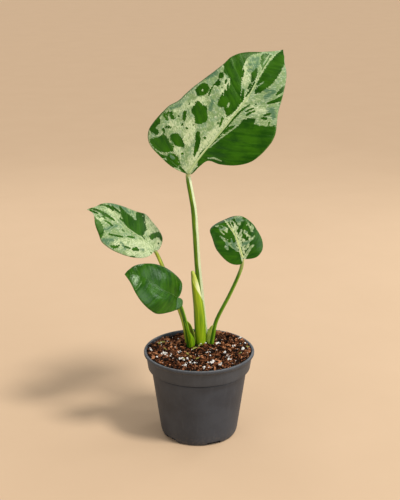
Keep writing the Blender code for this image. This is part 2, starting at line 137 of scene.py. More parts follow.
def newGroup(name, inputs, outputs):
    # a node group, its sockets given as {label: kind}
    tree = bpy.data.node_groups.new(name, "ShaderNodeTree")
    for way, sockets in (("INPUT", inputs), ("OUTPUT", outputs)):
        for label, kind in sockets.items():
            tree.interface.new_socket(label, in_out=way, socket_type="NodeSocket" + kind)
    given = tree.nodes.new("NodeGroupInput").outputs
    made = tree.nodes.new("NodeGroupOutput").inputs
    return tree, Nodes(tree), given, made


def newMaterial(name, roughness=0.5, specular=0.5, specularTint=(1, 1, 1)):
    material = bpy.data.materials.new(name)
    material.use_nodes = True
    n = Nodes(material.node_tree)
    n.shader = material.node_tree.nodes["Principled BSDF"].inputs
    n.put(n.shader["Roughness"], roughness)
    n.put(n.shader["Specular IOR Level"], specular)
    n.put(n.shader["Specular Tint"], specularTint)
    return material, n


def addObject(name, data):
    thing = bpy.data.objects.new(name, data)
    bpy.context.scene.collection.objects.link(thing)
    return thing


# camera and light

cameraSet = dict(place=(0.001, -1.020, 0.532), tiltDown=17.56, lens=73.0, sensor=36, reach=60)
lightSet = dict(
    worldColour=(1.0, 0.975, 0.94),
    worldStrength=0.42,
    skyShown=(0.635, 0.449, 0.286),
    sunColour=(1.0, 0.96, 0.90),
    sunStrength=2.0,
    sunAngle=12.0,  # degrees across, so its shadows are soft
    sunFrom=(0.42, -0.30, 0.86),
    boxes=[  # place, size, power, colour
        ((-0.75, -0.95, 0.75), 0.8, 1.9, (0.97, 0.99, 1.0)),
        ((1.40, -1.00, 0.72), 0.9, 8.6, (0.91, 0.96, 1.0)),
        ((1.00, 0.05, 0.50), 0.24, 1.3, (0.95, 0.98, 1.0)),
        ((0.85, 0.75, 0.62), 0.45, 2.2, (0.93, 0.97, 1.0)),
        ((-0.55, 0.95, 0.75), 0.6, 1.5, (0.95, 0.98, 1.0)),
    ],
    boxTarget=(0, 0, 0.2),
)


def makeCamera():
    cameraData = bpy.data.cameras.new("viewCamera")
    cameraData.lens = cameraSet["lens"]
    cameraData.sensor_width = cameraSet["sensor"]
    cameraData.clip_end = cameraSet["reach"]
    camera = addObject("viewCamera", cameraData)
    camera.location = cameraSet["place"]
    camera.rotation_euler = (math.radians(90 - cameraSet["tiltDown"]), 0, 0)
    bpy.context.scene.camera = camera


def addLamp(name, kind, place, target, **settings):
    data = bpy.data.lights.new(name, kind)
    for key, value in settings.items():
        setattr(data, key, value)
    way = (Vector(target) - Vector(place)).normalized()
    turn = way.to_track_quat("-Z", "Y").to_matrix().to_4x4()
    addObject(name, data).matrix_world = Matrix.Translation(place) @ turn


def makeLights():
    sun = dict(energy=lightSet["sunStrength"], color=lightSet["sunColour"])
    angle = math.radians(lightSet["sunAngle"])
    addLamp("keySun", "SUN", lightSet["sunFrom"], (0, 0, 0), angle=angle, **sun)
    for place, size, power, colour in lightSet["boxes"]:
        box = dict(size=size, energy=power, color=colour)
        addLamp("softbox", "AREA", place, lightSet["boxTarget"], **box)

    # the sky lights the plant softly and shows the floor's colour behind it
    world = bpy.data.worlds.new("studio")
    bpy.context.scene.world = world
    world.use_nodes = True
    world.node_tree.nodes.clear()
    n = Nodes(world.node_tree)
    light = {"Color": lightSet["worldColour"], "Strength": lightSet["worldStrength"]}
    lit = n.make("Background", light)
    shown = n.make("Background", {"Color": lightSet["skyShown"]})
    seen = n.make("LightPath", {}, "Is Camera Ray")
    out = world.node_tree.nodes.new("ShaderNodeOutputWorld")
    n.put(out.inputs["Surface"], n.make("MixShader", {0: seen, 1: lit, 2: shown}))


# curves and mesh helpers

curveSteps = 12  # points in each span of a smooth curve


def through(points, steps=curveSteps):
    # a smooth curve through the points, of 2, 3 or 4 numbers each
    points = [Vector(p) for p in points]
    points = [2 * points[0] - points[1], *points, 2 * points[-1] - points[-2]]
    curve = []
    for a, b, c, d in zip(points, points[1:], points[2:], points[3:]):
        for k in range(steps):
            u = k / steps
            square, cube = 2 * a - 5 * b + 4 * c - d, 3 * b - a - 3 * c + d
            curve.append(0.5 * (2 * b + (c - a) * u + square * u**2 + cube * u**3))
    return [*curve, points[-2]]


def closedThrough(points, steps=6):
    curve = through([points[-1], *points, points[0], points[1]], steps)
    return curve[steps : steps * (len(points) + 1) + 1]


def reachAlong(curve):
    # how far along the curve each of its points lies
    reach = [0.0]
    for a, b in zip(curve, curve[1:]):
        reach.append(reach[-1] + Vector((b - a)[:3]).length)
    return reach


def heading(curve, k):
    # which way the curve runs at its point k
    return (curve[min(k + 1, len(curve) - 1)] - curve[max(k - 1, 0)]).to_3d().normalized()


def within(share):
    return min(max(share, 0), 1)


def ease(value, low, high):
    share = within((value - low) / (high - low))
    return share * share * (3 - 2 * share)


def spaced(curve, count):
    # count + 1 points at equal distances along the curve
    reach = reachAlong(curve)
    made, span = [], 0
    for k in range(count + 1):
        target = reach[-1] * k / count
        while span < len(curve) - 2 and reach[span + 1] < target:
            span += 1
        share = (target - reach[span]) / max(reach[span + 1] - reach[span], 1e-9)
        made.append(curve[span].lerp(curve[span + 1], within(share)))
    return made


def atHeight(curve, z):
    # the point of a rising curve at height z
    for a, b in zip(curve, curve[1:]):
        if b.z >= z:
            return a.lerp(b, within((z - a.z) / max(b.z - a.z, 1e-9)))
    return curve[-1]


def meshFrom(bm, name):
    mesh = bpy.data.meshes.new(name)
    bm.to_mesh(mesh)
    bm.free()
    return mesh


def keepPiece(name, mesh, replaced, material, smooth=50):
    # turns a mesh into a piece of the plant that stands for its CAD nodes
    mesh.materials.append(material)
    mesh.shade_smooth()
    if smooth:
        mesh.set_sharp_from_angle(angle=math.radians(smooth))
    piece = addObject(name, mesh)
    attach(piece, "root")
    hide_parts(*replaced)
    print(name, len(mesh.polygons), "faces")
    return piece


def turned(profile, steps):
    # a solid spun round the upright axis from (radius, height) points
    bm = bmesh.new()
    chain = [bm.verts.new((r * mm, 0, z * mm)) for r, z in profile]
    edges = [bm.edges.new(pair) for pair in zip(chain, chain[1:])]
    spin = dict(cent=(0, 0, 0), axis=(0, 0, 1), angle=math.tau, steps=steps, use_merge=True)
    bmesh.ops.spin(bm, geom=chain + edges, **spin)
    bmesh.ops.remove_doubles(bm, verts=bm.verts, dist=0.005 * mm)
    bmesh.ops.recalc_face_normals(bm, faces=bm.faces)
    return bm


def bentTube(bm, rings, around, place):
    # a grid bent into a closed tube: place(share along, angle, vert) gives each point in millimetres
    grid = bmesh.ops.create_grid(bm, x_segments=rings, y_segments=around, size=0.5)
    spots = {}
    for vert in grid["verts"]:
        spots[vert] = (vert.co.x + 0.5, (vert.co.y + 0.5) * math.tau)
        vert.co = place(*spots[vert], vert) * mm
    seam = [v for v, (_, angle) in spots.items() if angle < 0.001 or angle > math.tau - 0.001]
    bmesh.ops.remove_doubles(bm, verts=seam, dist=0.001 * mm)
    bmesh.ops.holes_fill(bm, edges=[e for e in bm.edges if e.is_boundary], sides=0)
    bmesh.ops.recalc_face_normals(bm, faces=bm.faces)


# leaf blades

# Each blade is an outline on a plane, in millimetres: x to the leaf's right, y from the stalk to the
# tip. It is then arched, folded at the midrib and curled at the tip. A stroke is a list of
# (x, y, half width) points and a region is an outline, both on that plane. green marks the dark green
# patches, gap the pale marks inside them, island the green inside a gap, tealAndSheen the grey-green
# marks, partly real grey-green tissue and partly painted sheen, and cream the palest parts.

# fold and droop are for the left and the right half: how steeply it rises from the midrib, and how
# much it then bends down. quilt lifts the pleats between the side veins, wave the margin and swell
# the whole half. stations, marginSteps and columns are the mesh's steps along the midrib, along the
# margin and across. gloss, polish and waxTint are the shine's strength, roughness and colour.

paleBlade = dict(darkGround=False, island=[], gloss=0.20, polish=1.0, waxTint=(0.72, 1.0, 0.5))
greenBlade = dict(
    darkGround=True,
    marginSteps=120,
    stations=72,
    columns=32,
    waxTint=(0.82, 1.0, 0.76),
    greenRegions=[],
    green=[],
    gap=[],
    island=[],
    tealAndSheen=[],
    cream=[],
)

mainLeaf = dict(
    paleBlade,
    name="main_leaf",
    base=(-12, 10, 289),
    tip=(89, 62, 409),
    facing=(-0.06, -0.90, 0.44),
    midrib=[(0, 0), (0, 25), (2, 60), (2, 100), (-3, 128), (-6, 150), (-5, 162), (-3.5, 171)],
    left=[(0, 0), (-16, -4), (-33, -3), (-51, 1), (-60, 10), (-62, 22), (-59.5, 43), (-54, 56),
          (-52, 68), (-46, 91), (-40, 113), (-38, 126), (-31, 138), (-17, 152), (-8.5, 162.5),
          (-5.5, 166.5), (-3.5, 171)],
    right=[(0, 0), (4, 3), (6, 14), (10, 23.5), (22, 27), (36, 36), (47, 50), (51, 70), (49, 86),
           (38, 105), (31, 122), (20, 144), (8, 157), (3.5, 163), (-0.5, 167), (-3.5, 171)],
    arch=9,
    fold=(0.26, 0.30),
    droop=(0.0042, 0.0055),
    curl=(116, 160),  # where the tip starts to bend, and how tightly
    hook=(3.5, 7),  # length of the hooked tip, and how tightly it bends
    ribRadius=1.65,
    veinSpacing=10.5,
    quilt=0.42,
    wave=0.9,
    swell=1.3,
    marginSteps=190,
    stations=112,
    columns=40,
    greenRegions=[
        [(-44, 121), (-40, 113.5), (-36, 111), (-33.5, 107), (-30, 106.5), (-26.5, 106), (-21, 100),
         (-20.5, 96), (-21.5, 91), (-20.5, 83.5), (-18.5, 77), (-15.5, 74.5), (-11.5, 77), (-9, 76),
         (-5.5, 73), (-2.5, 72), (-0.5, 79), (0.2, 86), (-1, 92), (-4, 96.5), (-7.5, 101), (-11, 106),
         (-14, 111), (-17.5, 116.5), (-21, 122), (-23.5, 128), (-24.5, 134), (-23.5, 141), (-18, 151),
         (-33, 146), (-42, 132)],
        [(-1, 32), (3, 45.5), (7, 57), (10.5, 66), (12.5, 74), (15, 81), (22.5, 86.5), (24.5, 82.5),
         (31, 83.5), (39, 88.5), (46, 94), (62, 90), (62, 45), (40, 15), (10, 10), (-1, 20)],
        [(-37.5, 65), (-34.5, 66.5), (-30.5, 65.5), (-25.5, 67), (-22, 62), (-17.5, 57.5), (-17, 53.5),
         (-19.5, 49.5), (-23.5, 46.5), (-27, 48.5), (-29.5, 51.5), (-34.5, 53), (-37, 56.5), (-36.5, 60.5)],
        [(-44, 85), (-46.5, 76), (-43, 72), (-39, 71.5), (-34.5, 77), (-35, 83), (-39, 86)],
        [(-53, 5), (-51, 8.5), (-47.5, 11.5), (-46, 15.5), (-43.5, 17.5), (-39.5, 16.5), (-33.5, 14.5),
         (-28, 12.5), (-26, 9.5), (-29.5, 6), (-32.5, 3), (-37.5, 1.5), (-42.5, 1), (-48, 2)],
        [(-38, 22.5), (-35, 25.5), (-31.5, 26.5), (-26, 25), (-20.5, 21.5), (-20.5, 19), (-24.5, 17),
         (-28.5, 15.5), (-33, 17), (-37, 19.5)],
        [(-28, 4), (-25, 7), (-21, 8), (-17, 7.5), (-15.5, 4.5), (-19, 0), (-26, -1)],
        [(-65, 16), (-58, 17.5), (-51, 17), (-50, 14), (-53, 12.5), (-60, 13)],
        [(-5, 163), (-2, 169), (3, 165), (9, 155), (11, 147), (12.5, 138.5), (13, 129.5), (11.5, 121),
         (9, 113), (6, 109), (4, 110.5), (3, 115), (0.5, 119.5), (-1.2, 128), (-2.6, 136.5), (-4.2, 147),
         (-4.2, 157.5)],
        [(-9.5, 130), (-7, 129), (-4.6, 123.5), (-4.5, 119), (-7.5, 119.5), (-10, 122.5), (-10.5, 127)],
        [(-15.5, 148.5), (-11, 154.5), (-7.8, 152), (-7.2, 146), (-6, 137.5), (-9.5, 138.5), (-12.5, 143)],
    ],
    green=[
        [(-9.5, 130.5, 1.3), (-7, 123.5, 2.4), (-5, 118, 1.1)],
        [(-4, 113.5, 1.2), (-3.5, 109.5, 0.9)],
        [(-19, 121, 0.8), (-16.5, 116, 0.6)],
        [(-6.5, 104.5, 1.0), (-3.5, 98, 0.8), (-1, 93, 0.9)],
        [(-8.5, 154.5, 0.5), (-6.8, 144, 0.7), (-5, 135, 0.5)],
        [(-2.6, 118.5, 0.4), (-0.9, 110.5, 0.6), (-0.4, 101, 0.5)],
        [(-4.5, 170.5, 2.5)],
        [(25.5, 132, 1.0), (25.5, 126, 1.7), (24.5, 120.5, 0.7)],
        [(31, 123.5, 1.3), (29.8, 118, 1.9), (26.8, 112.8, 1.4), (22.5, 107.5, 0.8)],
        [(31.5, 100, 0.8), (28.5, 95.5, 1.1)],
        [(31.5, 93.5, 1.1), (28, 91.2, 0.9)],
        [(36.5, 92.5, 0.6), (38, 89.5, 0.5)],
        [(33, 114.5, 0.5)],
        [(17.5, 109, 0.3)],
        [(13.5, 100, 0.7)],
        [(14, 94.5, 0.5), (11.5, 90.5, 0.7), (9.5, 87, 0.5)],
        [(17, 93, 0.5), (14.5, 88.5, 0.9), (13, 85, 0.9)],
        [(8.5, 95.5, 0.4), (5.5, 87, 0.8), (4.2, 76.5, 0.8), (3.4, 66, 0.9), (2.8, 55, 1.1),
         (2, 48, 0.9), (1.2, 41, 0.4)],
        [(9.5, 67.5, 0.9), (6.5, 63, 1.5), (5, 57.5, 1.0)],
        [(-34.5, 103, 2.2)],
        [(-31.5, 94.5, 2.1), (-31, 92.5, 2.0)],
        [(-33.5, 97, 0.3), (-33.5, 90, 0.4), (-33, 83.5, 0.5), (-30.5, 77, 0.4)],
        [(-26.5, 102, 0.9), (-25.5, 98, 0.6)],
        [(-25.5, 92.5, 0.6)],
        [(-40.5, 49, 1.5), (-38.5, 45.5, 1.8), (-36, 42, 0.8)],
        [(-34.5, 37.3, 1.2)],
        [(-28.5, 36.8, 1.1)],
        [(-43.5, 42, 0.9)],
        [(-42.5, 59, 0.8)],
        [(-25.5, 43.5, 0.8)],
        [(-37.5, 30.5, 0.4)],
        [(-6.2, 60.3, 0.7)],
        [(-55, 39.5, 1.1), (-55.5, 35.5, 0.9), (-57.5, 33, 0.7)],
        [(-52.5, 40.5, 1.2), (-50.5, 38, 1.4), (-47, 37, 1.5), (-45.5, 38.5, 0.5)],
        [(-53.5, 33, 1.5), (-51.5, 32.5, 1.1)],
        [(-59, 37.5, 0.5), (-62, 29, 1.0)],
        [(-61.5, 25.5, 1.6), (-58.5, 22.5, 2.4), (-59, 19, 1.8)],
        [(-48.5, 22, 0.9), (-46, 20, 0.9)],
        [(-47.5, 25, 1.0), (-45, 27, 1.3), (-42.5, 27.5, 0.7)],
        [(-16.5, 40, 1.3), (-15, 37.5, 2.2), (-11.5, 33.5, 2.2), (-8.5, 27.5, 2.1), (-6.5, 21.5, 1.1),
         (-5.5, 19, 0.5)],
        [(-7.5, 40, 1.2)],
        [(-18, 12.5, 0.6), (-16, 13.5, 0.9)],
        [(-8.5, 11.5, 0.3)],
        [(-5.5, 67.5, 1.0), (-4, 63.5, 0.8), (-2.5, 58.5, 0.4)],
        [(-47.5, -1, 0.8), (-41.5, -2.2, 1.4), (-35.5, -2.2, 1.6), (-31, -1.2, 1.3), (-28.5, 0.5, 0.8)],
        [(-27.5, -3, 0.6), (-22, -3.5, 1.0), (-17, -3, 1.0), (-13, -0.5, 0.5)],
        [(-62, 19.5, 1.2), (-62.5, 26, 1.3), (-61, 31, 1.0), (-60, 36, 0.6)],
        [(-56.5, 24.5, 1.3), (-59, 27, 1.4)],
        [(-23, 99.5, 0.7), (-20.5, 96.5, 0.8), (-20, 93.5, 0.6)],
        [(-33.5, 102, 2.4)],
        [(-31, 107, 0.7)],
        [(-0.5, 94, 0.7), (-1.5, 97, 0.8), (-5.5, 103, 0.7)],
        [(-23.5, -1, 1.5), (-18.5, -0.5, 1.8), (-13, 3, 1.1)],
        [(-10, 0.5, 1.0), (-5.5, -0.2, 1.1), (-1, -1, 0.8)],
        [(4.6, 3, 1.2), (5.6, 13, 1.2)],
    ],
    gap=[
        [(0.5, 4, 1.0), (2.2, 12, 0.8)],
        [(-9.5, 84.5, 0.4), (-8.5, 80.5, 0.8)],
        [(-40, 78, 0.9)],
        [(8, 25.5, 0.3), (13, 29, 0.5), (21, 30.5, 0.3)],
        [(-10.2, 155, 0.4), (-9.2, 149, 0.4), (-7.6, 140.5, 0.4)],
        [(2.5, 115.5, 0.3), (5, 124.5, 0.3)],
        [(2.2, 34.5, 0.2), (4.2, 43.5, 0.4), (7.2, 55.5, 0.6), (10.7, 66, 0.5), (12.7, 75.5, 0.2)],
        [(-24.5, 4, 1.1), (-21, 4, 1.1)],
        [(-24.5, 104.5, 0.3), (-22, 100.5, 0.3), (-19.5, 97, 0.1)],
        [(-26, 107, 0.1), (-23, 96.5, 0.2), (-20, 93, 0.1)],
        [(-22.5, 90, 0.1), (-19, 87, 0.1)],
    ],
    tealAndSheen=[
        [(-19.5, 136.5, 1.8), (-16, 142, 2.2), (-12.5, 136, 2.2), (-10.5, 129, 1.6), (-15, 125, 2.0)],
        [(-18, 131, 2.0), (-14, 133, 2.0)],
        [(-25, 3.5, 3.0), (-20, 3, 3.5)],
        [(-64, 30, 1.6), (-60, 27, 2.0)],
        [(31, 105, 3.0), (36, 100, 2.6), (27, 103, 2.0)],
        [(12, 118, 2.2), (20, 122, 2.2), (17, 112, 2.2)],
        [(-40, 102, 2.4), (-45, 92, 2.4)],
        [(-50, 52, 2.4), (-55, 44, 2.0)],
        [(-24, 75, 2.4), (-21, 66, 2.0)],
    ],
    cream=[
        [(-2, 5, 3), (-4, 25, 4), (-3, 45, 3.5), (0, 70, 2.5), (1, 100, 2)],
        [(14, 93, 3), (24, 98, 2.5)],
        [(-30, 44, 4), (-24, 36, 5), (-20, 28, 4)],
        [(-44, 30, 3), (-38, 32, 3)],
        [(-50, 45, 1.5), (-33, 70, 2.5)],
        [(-22, 12, 4)],
        [(-17, 122, 2.5), (-12, 112, 3), (-22, 127, 2)],
        [(-24, 100, 2.5), (-22, 90, 2)],
    ],
)

leftLeaf = dict(
    paleBlade,
    name="left_leaf",
    base=(-48.5, 30, 200),
    tip=(-118, 8, 252),
    facing=(0.57, -0.66, 0.49),
    midrib=[(0, 0), (1.2, 12), (1.6, 27), (2, 40), (4.4, 49), (7.2, 58), (8.8, 66), (9, 73), (7, 81),
            (3, 88)],
    left=[(0, 0), (-5, 1), (-12, 5), (-20, 14), (-27, 29), (-30, 46), (-28, 61), (-22, 68), (-12, 76),
          (-1, 81), (3, 88)],
    right=[(0, 0), (3, -5), (15, -5), (22, 1), (26, 14), (29, 26), (25, 39), (21, 58), (16, 74), (8, 82),
           (3, 88)],
    arch=6,
    fold=(0.22, 0.22),
    droop=(0.006, 0.006),
    curl=(62, 60),
    hook=(4, 8),
    ribRadius=1.05,
    veinSpacing=7.5,
    quilt=0.2,
    wave=0.45,
    swell=0.8,
    marginSteps=130,
    stations=80,
    columns=34,
    greenRegions=[
        [(17.5, 56), (17, 50), (16.6, 45), (16.2, 41), (14.9, 38), (14.8, 35), (17, 34.8), (20, 36.8),
         (25, 37.6), (27.2, 34), (28, 29), (24.5, 26.8), (21, 24), (16.8, 22), (14, 19), (10.5, 20.5),
         (7, 20.3), (4.2, 22.5), (2.2, 26), (1.2, 31), (1.2, 36.3), (2.8, 41.5), (5.4, 46.5), (9.3, 50),
         (13, 54)],
        [(9.5, 12.2), (13.5, 10.5), (18, 6), (21, 1.5), (18, -4), (14, -4.5), (14.8, -1.5), (15, 1.5),
         (12, 5), (8.5, 7.5), (7.6, 10.5)],
        [(-3.5, 81), (-5.6, 77.5), (-8.2, 73.6), (-9.5, 70), (-12.8, 67), (-18, 64.8), (-22, 64.5),
         (-25, 66.5), (-20, 73), (-11.5, 78)],
    ],
    green=[
        [(18.8, 58.5, 0.5), (17.3, 54, 0.9)],
        [(4.8, 23.3, 0.7), (2.8, 17, 0.3)],
        [(4.5, 86.5, 0.7), (5.2, 82, 0.9), (4.6, 75, 1.2), (3.4, 69.5, 1.7), (2.6, 64.5, 1.2),
         (2, 58.5, 0.7)],
        [(2.3, 84, 0.9), (1.5, 80, 0.9), (1.2, 77, 0.6)],
        [(0.8, 71.5, 0.6), (-1, 69, 0.5)],
        [(11.5, 79.5, 0.6), (13, 76, 0.9), (13.6, 71.5, 1.0), (13.8, 67, 1.3), (12.5, 63, 0.8)],
        [(15.4, 66, 0.6), (14.3, 61, 0.8), (13.3, 55.5, 0.6)],
        [(-3.8, 67.5, 0.5), (-4.6, 62.8, 0.9), (-5.2, 58.5, 0.6)],
        [(-16, 59, 0.7), (-15, 54, 0.6), (-13.4, 49.3, 0.8), (-11.3, 43.8, 0.8)],
        [(-7.5, 38.5, 0.4), (-5.8, 34.8, 1.0), (-3.6, 29.8, 0.7)],
        [(7.8, 53.3, 0.5), (6.9, 49, 0.6)],
        [(-5, 80, 0.9), (-7.8, 77, 0.9), (-7.9, 73.5, 1.2), (-10, 71, 1.0), (-13, 68, 1.0)],
        [(-0.5, 72.5, 0.3), (-1, 67, 0.2)],
        [(-1.3, 76, 0.2), (-2.8, 73.5, 0.2)],
        [(-3.8, 46.8, 0.4), (-3.8, 43.5, 0.3)],
        [(-26.8, 52, 0.6), (-26.6, 48.8, 1.3), (-24.2, 45, 1.0), (-20.8, 43.8, 0.4)],
        [(-28.2, 48.8, 0.6)],
        [(-19.8, 38, 0.7), (-18.3, 31, 0.6)],
        [(-17, 26.8, 1.3), (-14.5, 23.8, 1.8), (-14, 20.8, 1.0)],
        [(9, -1.8, 0.6)],
        [(8.8, 12.5, 0.4)],
        [(25.8, 17.8, 0.3)],
        [(-6.3, 3.6, 0.8)],
        [(-25.5, 26.8, 0.4), (-23.5, 22, 0.4)],
    ],
    gap=[
        [(19.5, 24.5, 0.5)],
        [(24.8, 29.5, 0.4)],
    ],
    tealAndSheen=[
        [(-26, 57, 2.6), (-24.5, 61.5, 2.2), (-20.5, 53.5, 2.2)],
        # grey-green along the top right margin: painted sheen
        [(16.5, 70, 1.4), (18.5, 62, 2.2), (20.5, 54, 2.4), (19, 46, 1.8), (22, 42, 1.6)],
        [(-14, 65, 2.0), (-9, 60, 1.8), (-3, 54.5, 1.6)],
        [(-18, 42.5, 1.8), (-21, 36, 1.6)],
        [(5, 53, 1.4), (3.5, 47, 1.2)],
        [(-10, 14, 1.6), (-12, 17, 1.4)],
    ],
    cream=[
        [(24, 20, 4), (20, 12, 4), (14, 14, 3)],
        [(10, -1, 3), (5, 1, 3)],
        [(-20, 46, 2), (-15, 34.5, 4), (-6, 20.5, 4), (0, 7, 4)],
        [(-10, 8, 5), (-17, 18, 4), (-21, 28, 4)],
        [(12, 69, 1.5), (8.5, 63, 2), (4.8, 56.8, 1.5)],
        [(-3, 73, 2)],
    ],
)

frontLeaf = dict(
    greenBlade,
    name="front_leaf",
    base=(-23.5, -2, 156.5),
    tip=(-76, -34, 194),
    facing=(0.67, -0.62, 0.41),
    midrib=[(0, 0), (-1, 29), (3, 52), (2, 70)],
    left=[(0, 0), (1, -6), (-2, -9), (-9, -7), (-18, 5), (-27, 22), (-28, 33), (-24, 46), (-16, 57),
          (-6, 64), (2, 70)],
    right=[(0, 0), (3, -3), (12, -4), (20, -1), (23, 10), (24, 27), (22, 42), (15, 60), (8, 67), (2, 70)],
    arch=6,
    fold=(0.25, 0.30),
    droop=(0.0108, 0.011),
    curl=(50, 38),
    hook=(3, 30),
    ribRadius=0.8,
    veinSpacing=7.0,
    quilt=0.07,
    wave=0.35,
    swell=1.0,
    gloss=0.28,
    polish=0.52,
)

rightLeaf = dict(
    greenBlade,
    name="right_leaf",
    base=(46.5, 2, 199.5),
    tip=(26.5, 20, 239.5),
    facing=(0.02, -0.91, 0.42),
    midrib=[(0, 0), (0.8, 7), (1.8, 17), (2.4, 26), (1.8, 33), (0.3, 40), (0, 58)],
    left=[(0, 0), (-4, -5), (-12, -2), (-18, 6), (-22, 20), (-21, 32), (-20, 41), (-16, 46), (-10, 50),
          (-4, 54), (0, 58)],
    right=[(0, 0), (4, -3), (14, -5), (23, 0), (27, 10), (26, 23), (24, 31), (19, 40), (14, 45), (8, 50),
           (3, 54), (0, 58)],
    arch=3,
    fold=(0.20, 0.22),
    droop=(0.0085, 0.0100),
    curl=(34.8, 12),
    hook=(3, 30),
    ribRadius=1.2,
    veinSpacing=6.0,
    quilt=0.12,
    wave=0.3,
    swell=0.7,
    gloss=0.25,
    polish=0.64,
    gap=[
        [(-0.5, -3, 1.5), (0.2, 4.8, 1.1), (1.2, 12.3, 1.1), (2.1, 20, 1.2), (2.5, 25.8, 0.7),
         (1.8, 31.8, 0.6), (0.4, 38.5, 0.6), (0, 48.3, 0.7)],
        [(5.3, 43.5, 0.7), (3.8, 38.3, 0.6), (3.6, 32.8, 0.5), (4.2, 27.3, 0.6)],
        [(6.3, 40.5, 0.4), (6.5, 35.5, 0.5), (5.3, 30.3, 0.6), (4.2, 23.5, 0.7)],
        [(11, 41.8, 0.9), (11.3, 37.5, 1.4), (14.5, 39, 1.1)],
        [(11.3, 37.5, 1.4), (11.5, 33.8, 0.8)],
        [(10.8, 27.8, 0.6), (8.5, 25.3, 0.8), (5, 22.3, 0.9)],
        [(13.3, 25.3, 0.7), (14.3, 22.5, 0.9), (13.3, 19, 0.4)],
        [(8.3, 16.8, 1.4)],
        [(15.8, 19.5, 0.4), (15.5, 16.3, 0.8), (12, 12, 0.6), (8.8, 8.8, 1.3), (5, 7, 0.5)],
        [(21.5, 16.5, 0.3), (18, 15, 0.6), (15.3, 14, 0.8)],
        [(15.8, 8, 0.6), (12.3, 6.8, 1.2), (7.5, 3.8, 1.1), (2.5, 0.3, 1.2), (0, -2, 1.2)],
        [(20.3, 32.8, 0.3), (20.5, 28.5, 0.5), (21, 25.5, 1.0), (19.8, 22.3, 0.6)],
        [(18, 30.3, 0.4), (20.5, 29.8, 0.3)],
        [(-11.5, 43, 0.7), (-8, 41.3, 0.8), (-6, 40.3, 0.4)],
        [(-6, 35.3, 0.9), (-3.5, 34.8, 1.5), (-4.5, 32.3, 0.6)],
        [(-9.8, 36.3, 0.4), (-8.8, 33, 0.4), (-7.8, 30.3, 0.3)],
        [(-12.3, 31, 0.3), (-10.8, 27.5, 0.8), (-9.5, 24, 0.8), (-7.5, 19.5, 0.8), (-4.3, 13.5, 0.6),
         (-1.8, 9, 0.5)],
        [(-7, 24.5, 0.4)],
        [(-12.3, 18.3, 0.7), (-10.8, 14.8, 0.6)],
        [(-6, 20, 0.3), (-3.5, 15.5, 0.5), (0, 11.5, 0.4)],
        # from here the wide gaps open the dark blade under the tealAndSheen marks, which are partly painted
        # sheen
        [(-0.8, 24, 1.6), (-2, 20, 2.6), (-3.5, 15.5, 2.0), (-2.5, 10, 1.0)],
        [(7.5, 13, 2.0), (11, 13.5, 1.2)],
        [(3, 44, 2.0), (7.5, 44.5, 1.4)],
        [(12, 39, 2.4), (15.5, 37.5, 1.6)],
        [(6.3, 37, 1.2), (6.5, 31.5, 1.4), (8.2, 32.2, 0.9)],
        [(10.3, 44.5, 1.0), (14, 42.5, 1.2), (16.7, 40, 0.8)],
        [(22.8, 28, 0.6), (22.8, 24.8, 1.0), (20.8, 22.3, 0.8)],
        [(8.2, 23.5, 1.2), (5, 19, 1.2), (4.4, 14.5, 1.1), (4.5, 9.8, 1.0), (3.3, 4, 0.7)],
        [(-8.5, 38, 1.6), (-5, 37, 1.4)],
        [(13.8, 23.5, 1.6)],
        [(-9, 21, 1.2), (-11, 17, 1.2)],
    ],
    island=[
        [(-0.4, 25.2, 1.6), (-1.2, 20, 1.4)],
        [(5, 39.5, 0.8), (5, 35.5, 0.7)],
        [(-8, 41.5, 0.7), (-6.8, 38.8, 0.8)],
        [(19, 27, 0.5), (19, 24, 0.5)],
    ],
    tealAndSheen=[
        # grey-green marks: partly painted sheen, partly real grey-green tissue
        [(-0.8, 24.5, 2.2), (-2, 20, 3.2), (-3.5, 15.5, 2.6), (-2.5, 10, 1.4)],
        [(7.5, 13, 2.8), (11.5, 13.5, 1.8)],
        [(3, 44.5, 2.4), (8, 45, 2.0)],
        [(12, 39, 3.2), (16, 37.5, 2.2)],
        [(-9, 38.5, 2.0), (-5.5, 37, 1.6)],
        [(14.5, 24, 1.8)],
        [(-9.5, 21, 1.8), (-11, 17, 1.6)],
    ],
    cream=[
        [(0, 0, 3), (1.8, 14, 2.5), (3.2, 27, 2), (1, 41, 2)],
        [(8.3, 16.8, 2.5)],
        [(5, 30, 2), (6.2, 36, 2)],
        [(13.8, 24, 2)],
        [(-3.5, 34.8, 2)],
    ],
)

veinLean, veinBow, veinSag = 0.55, 0.55, 0.17  # how side veins lean and bend
columnPower = 1.45  # above 1 a blade's columns lie closer at the midrib
bladeThickness = 0.55
farOutside = -30.0  # depth where there is no patch near


def shapeLeaf(leaf):
    # adds the directions and curves that the blade is placed with
    base = Vector(leaf["base"])
    along = (Vector(leaf["tip"]) - base).normalized()
    across = along.cross(Vector(leaf["facing"])).normalized()
    midrib = through(leaf["midrib"])
    leaf.update(base=base, along=along, across=across, up=across.cross(along))
    leaf.update(ribX=[p.x for p in midrib], ribY=[p.y for p in midrib], length=midrib[-1].y)
    leaf["sides"] = (through(leaf["left"]), through(leaf["right"]))


def ribCentre(leaf, y):
    return float(np.interp(y, leaf["ribY"], leaf["ribX"]))


def onLeaf(leaf, x, y, lift=0.0):
    # where a point of the flat outline lies in space, in millimetres
    across, share = x - ribCentre(leaf, y), max(y, 0) / leaf["length"]
    side = int(across > 0)
    height = 4 * leaf["arch"] * share * (1 - share) + lift
    height += leaf["fold"][side] * (math.hypot(across, 4) - 4) - leaf["droop"][side] * across**2
    start, radius = leaf["curl"]
    hookStart, hookRadius = leaf["length"] - leaf["hook"][0], leaf["hook"][1]
    if y > start:
        bend, more = (min(y, hookStart) - start) / radius, max(0, y - hookStart) / hookRadius
        y = start + radius * math.sin(bend) + hookRadius * (math.sin(bend + more) - math.sin(bend))
        height -= radius * (1 - math.cos(bend)) + hookRadius * (math.cos(bend) - math.cos(bend + more))
    return leaf["base"] + leaf["across"] * x + leaf["along"] * y + leaf["up"] * height


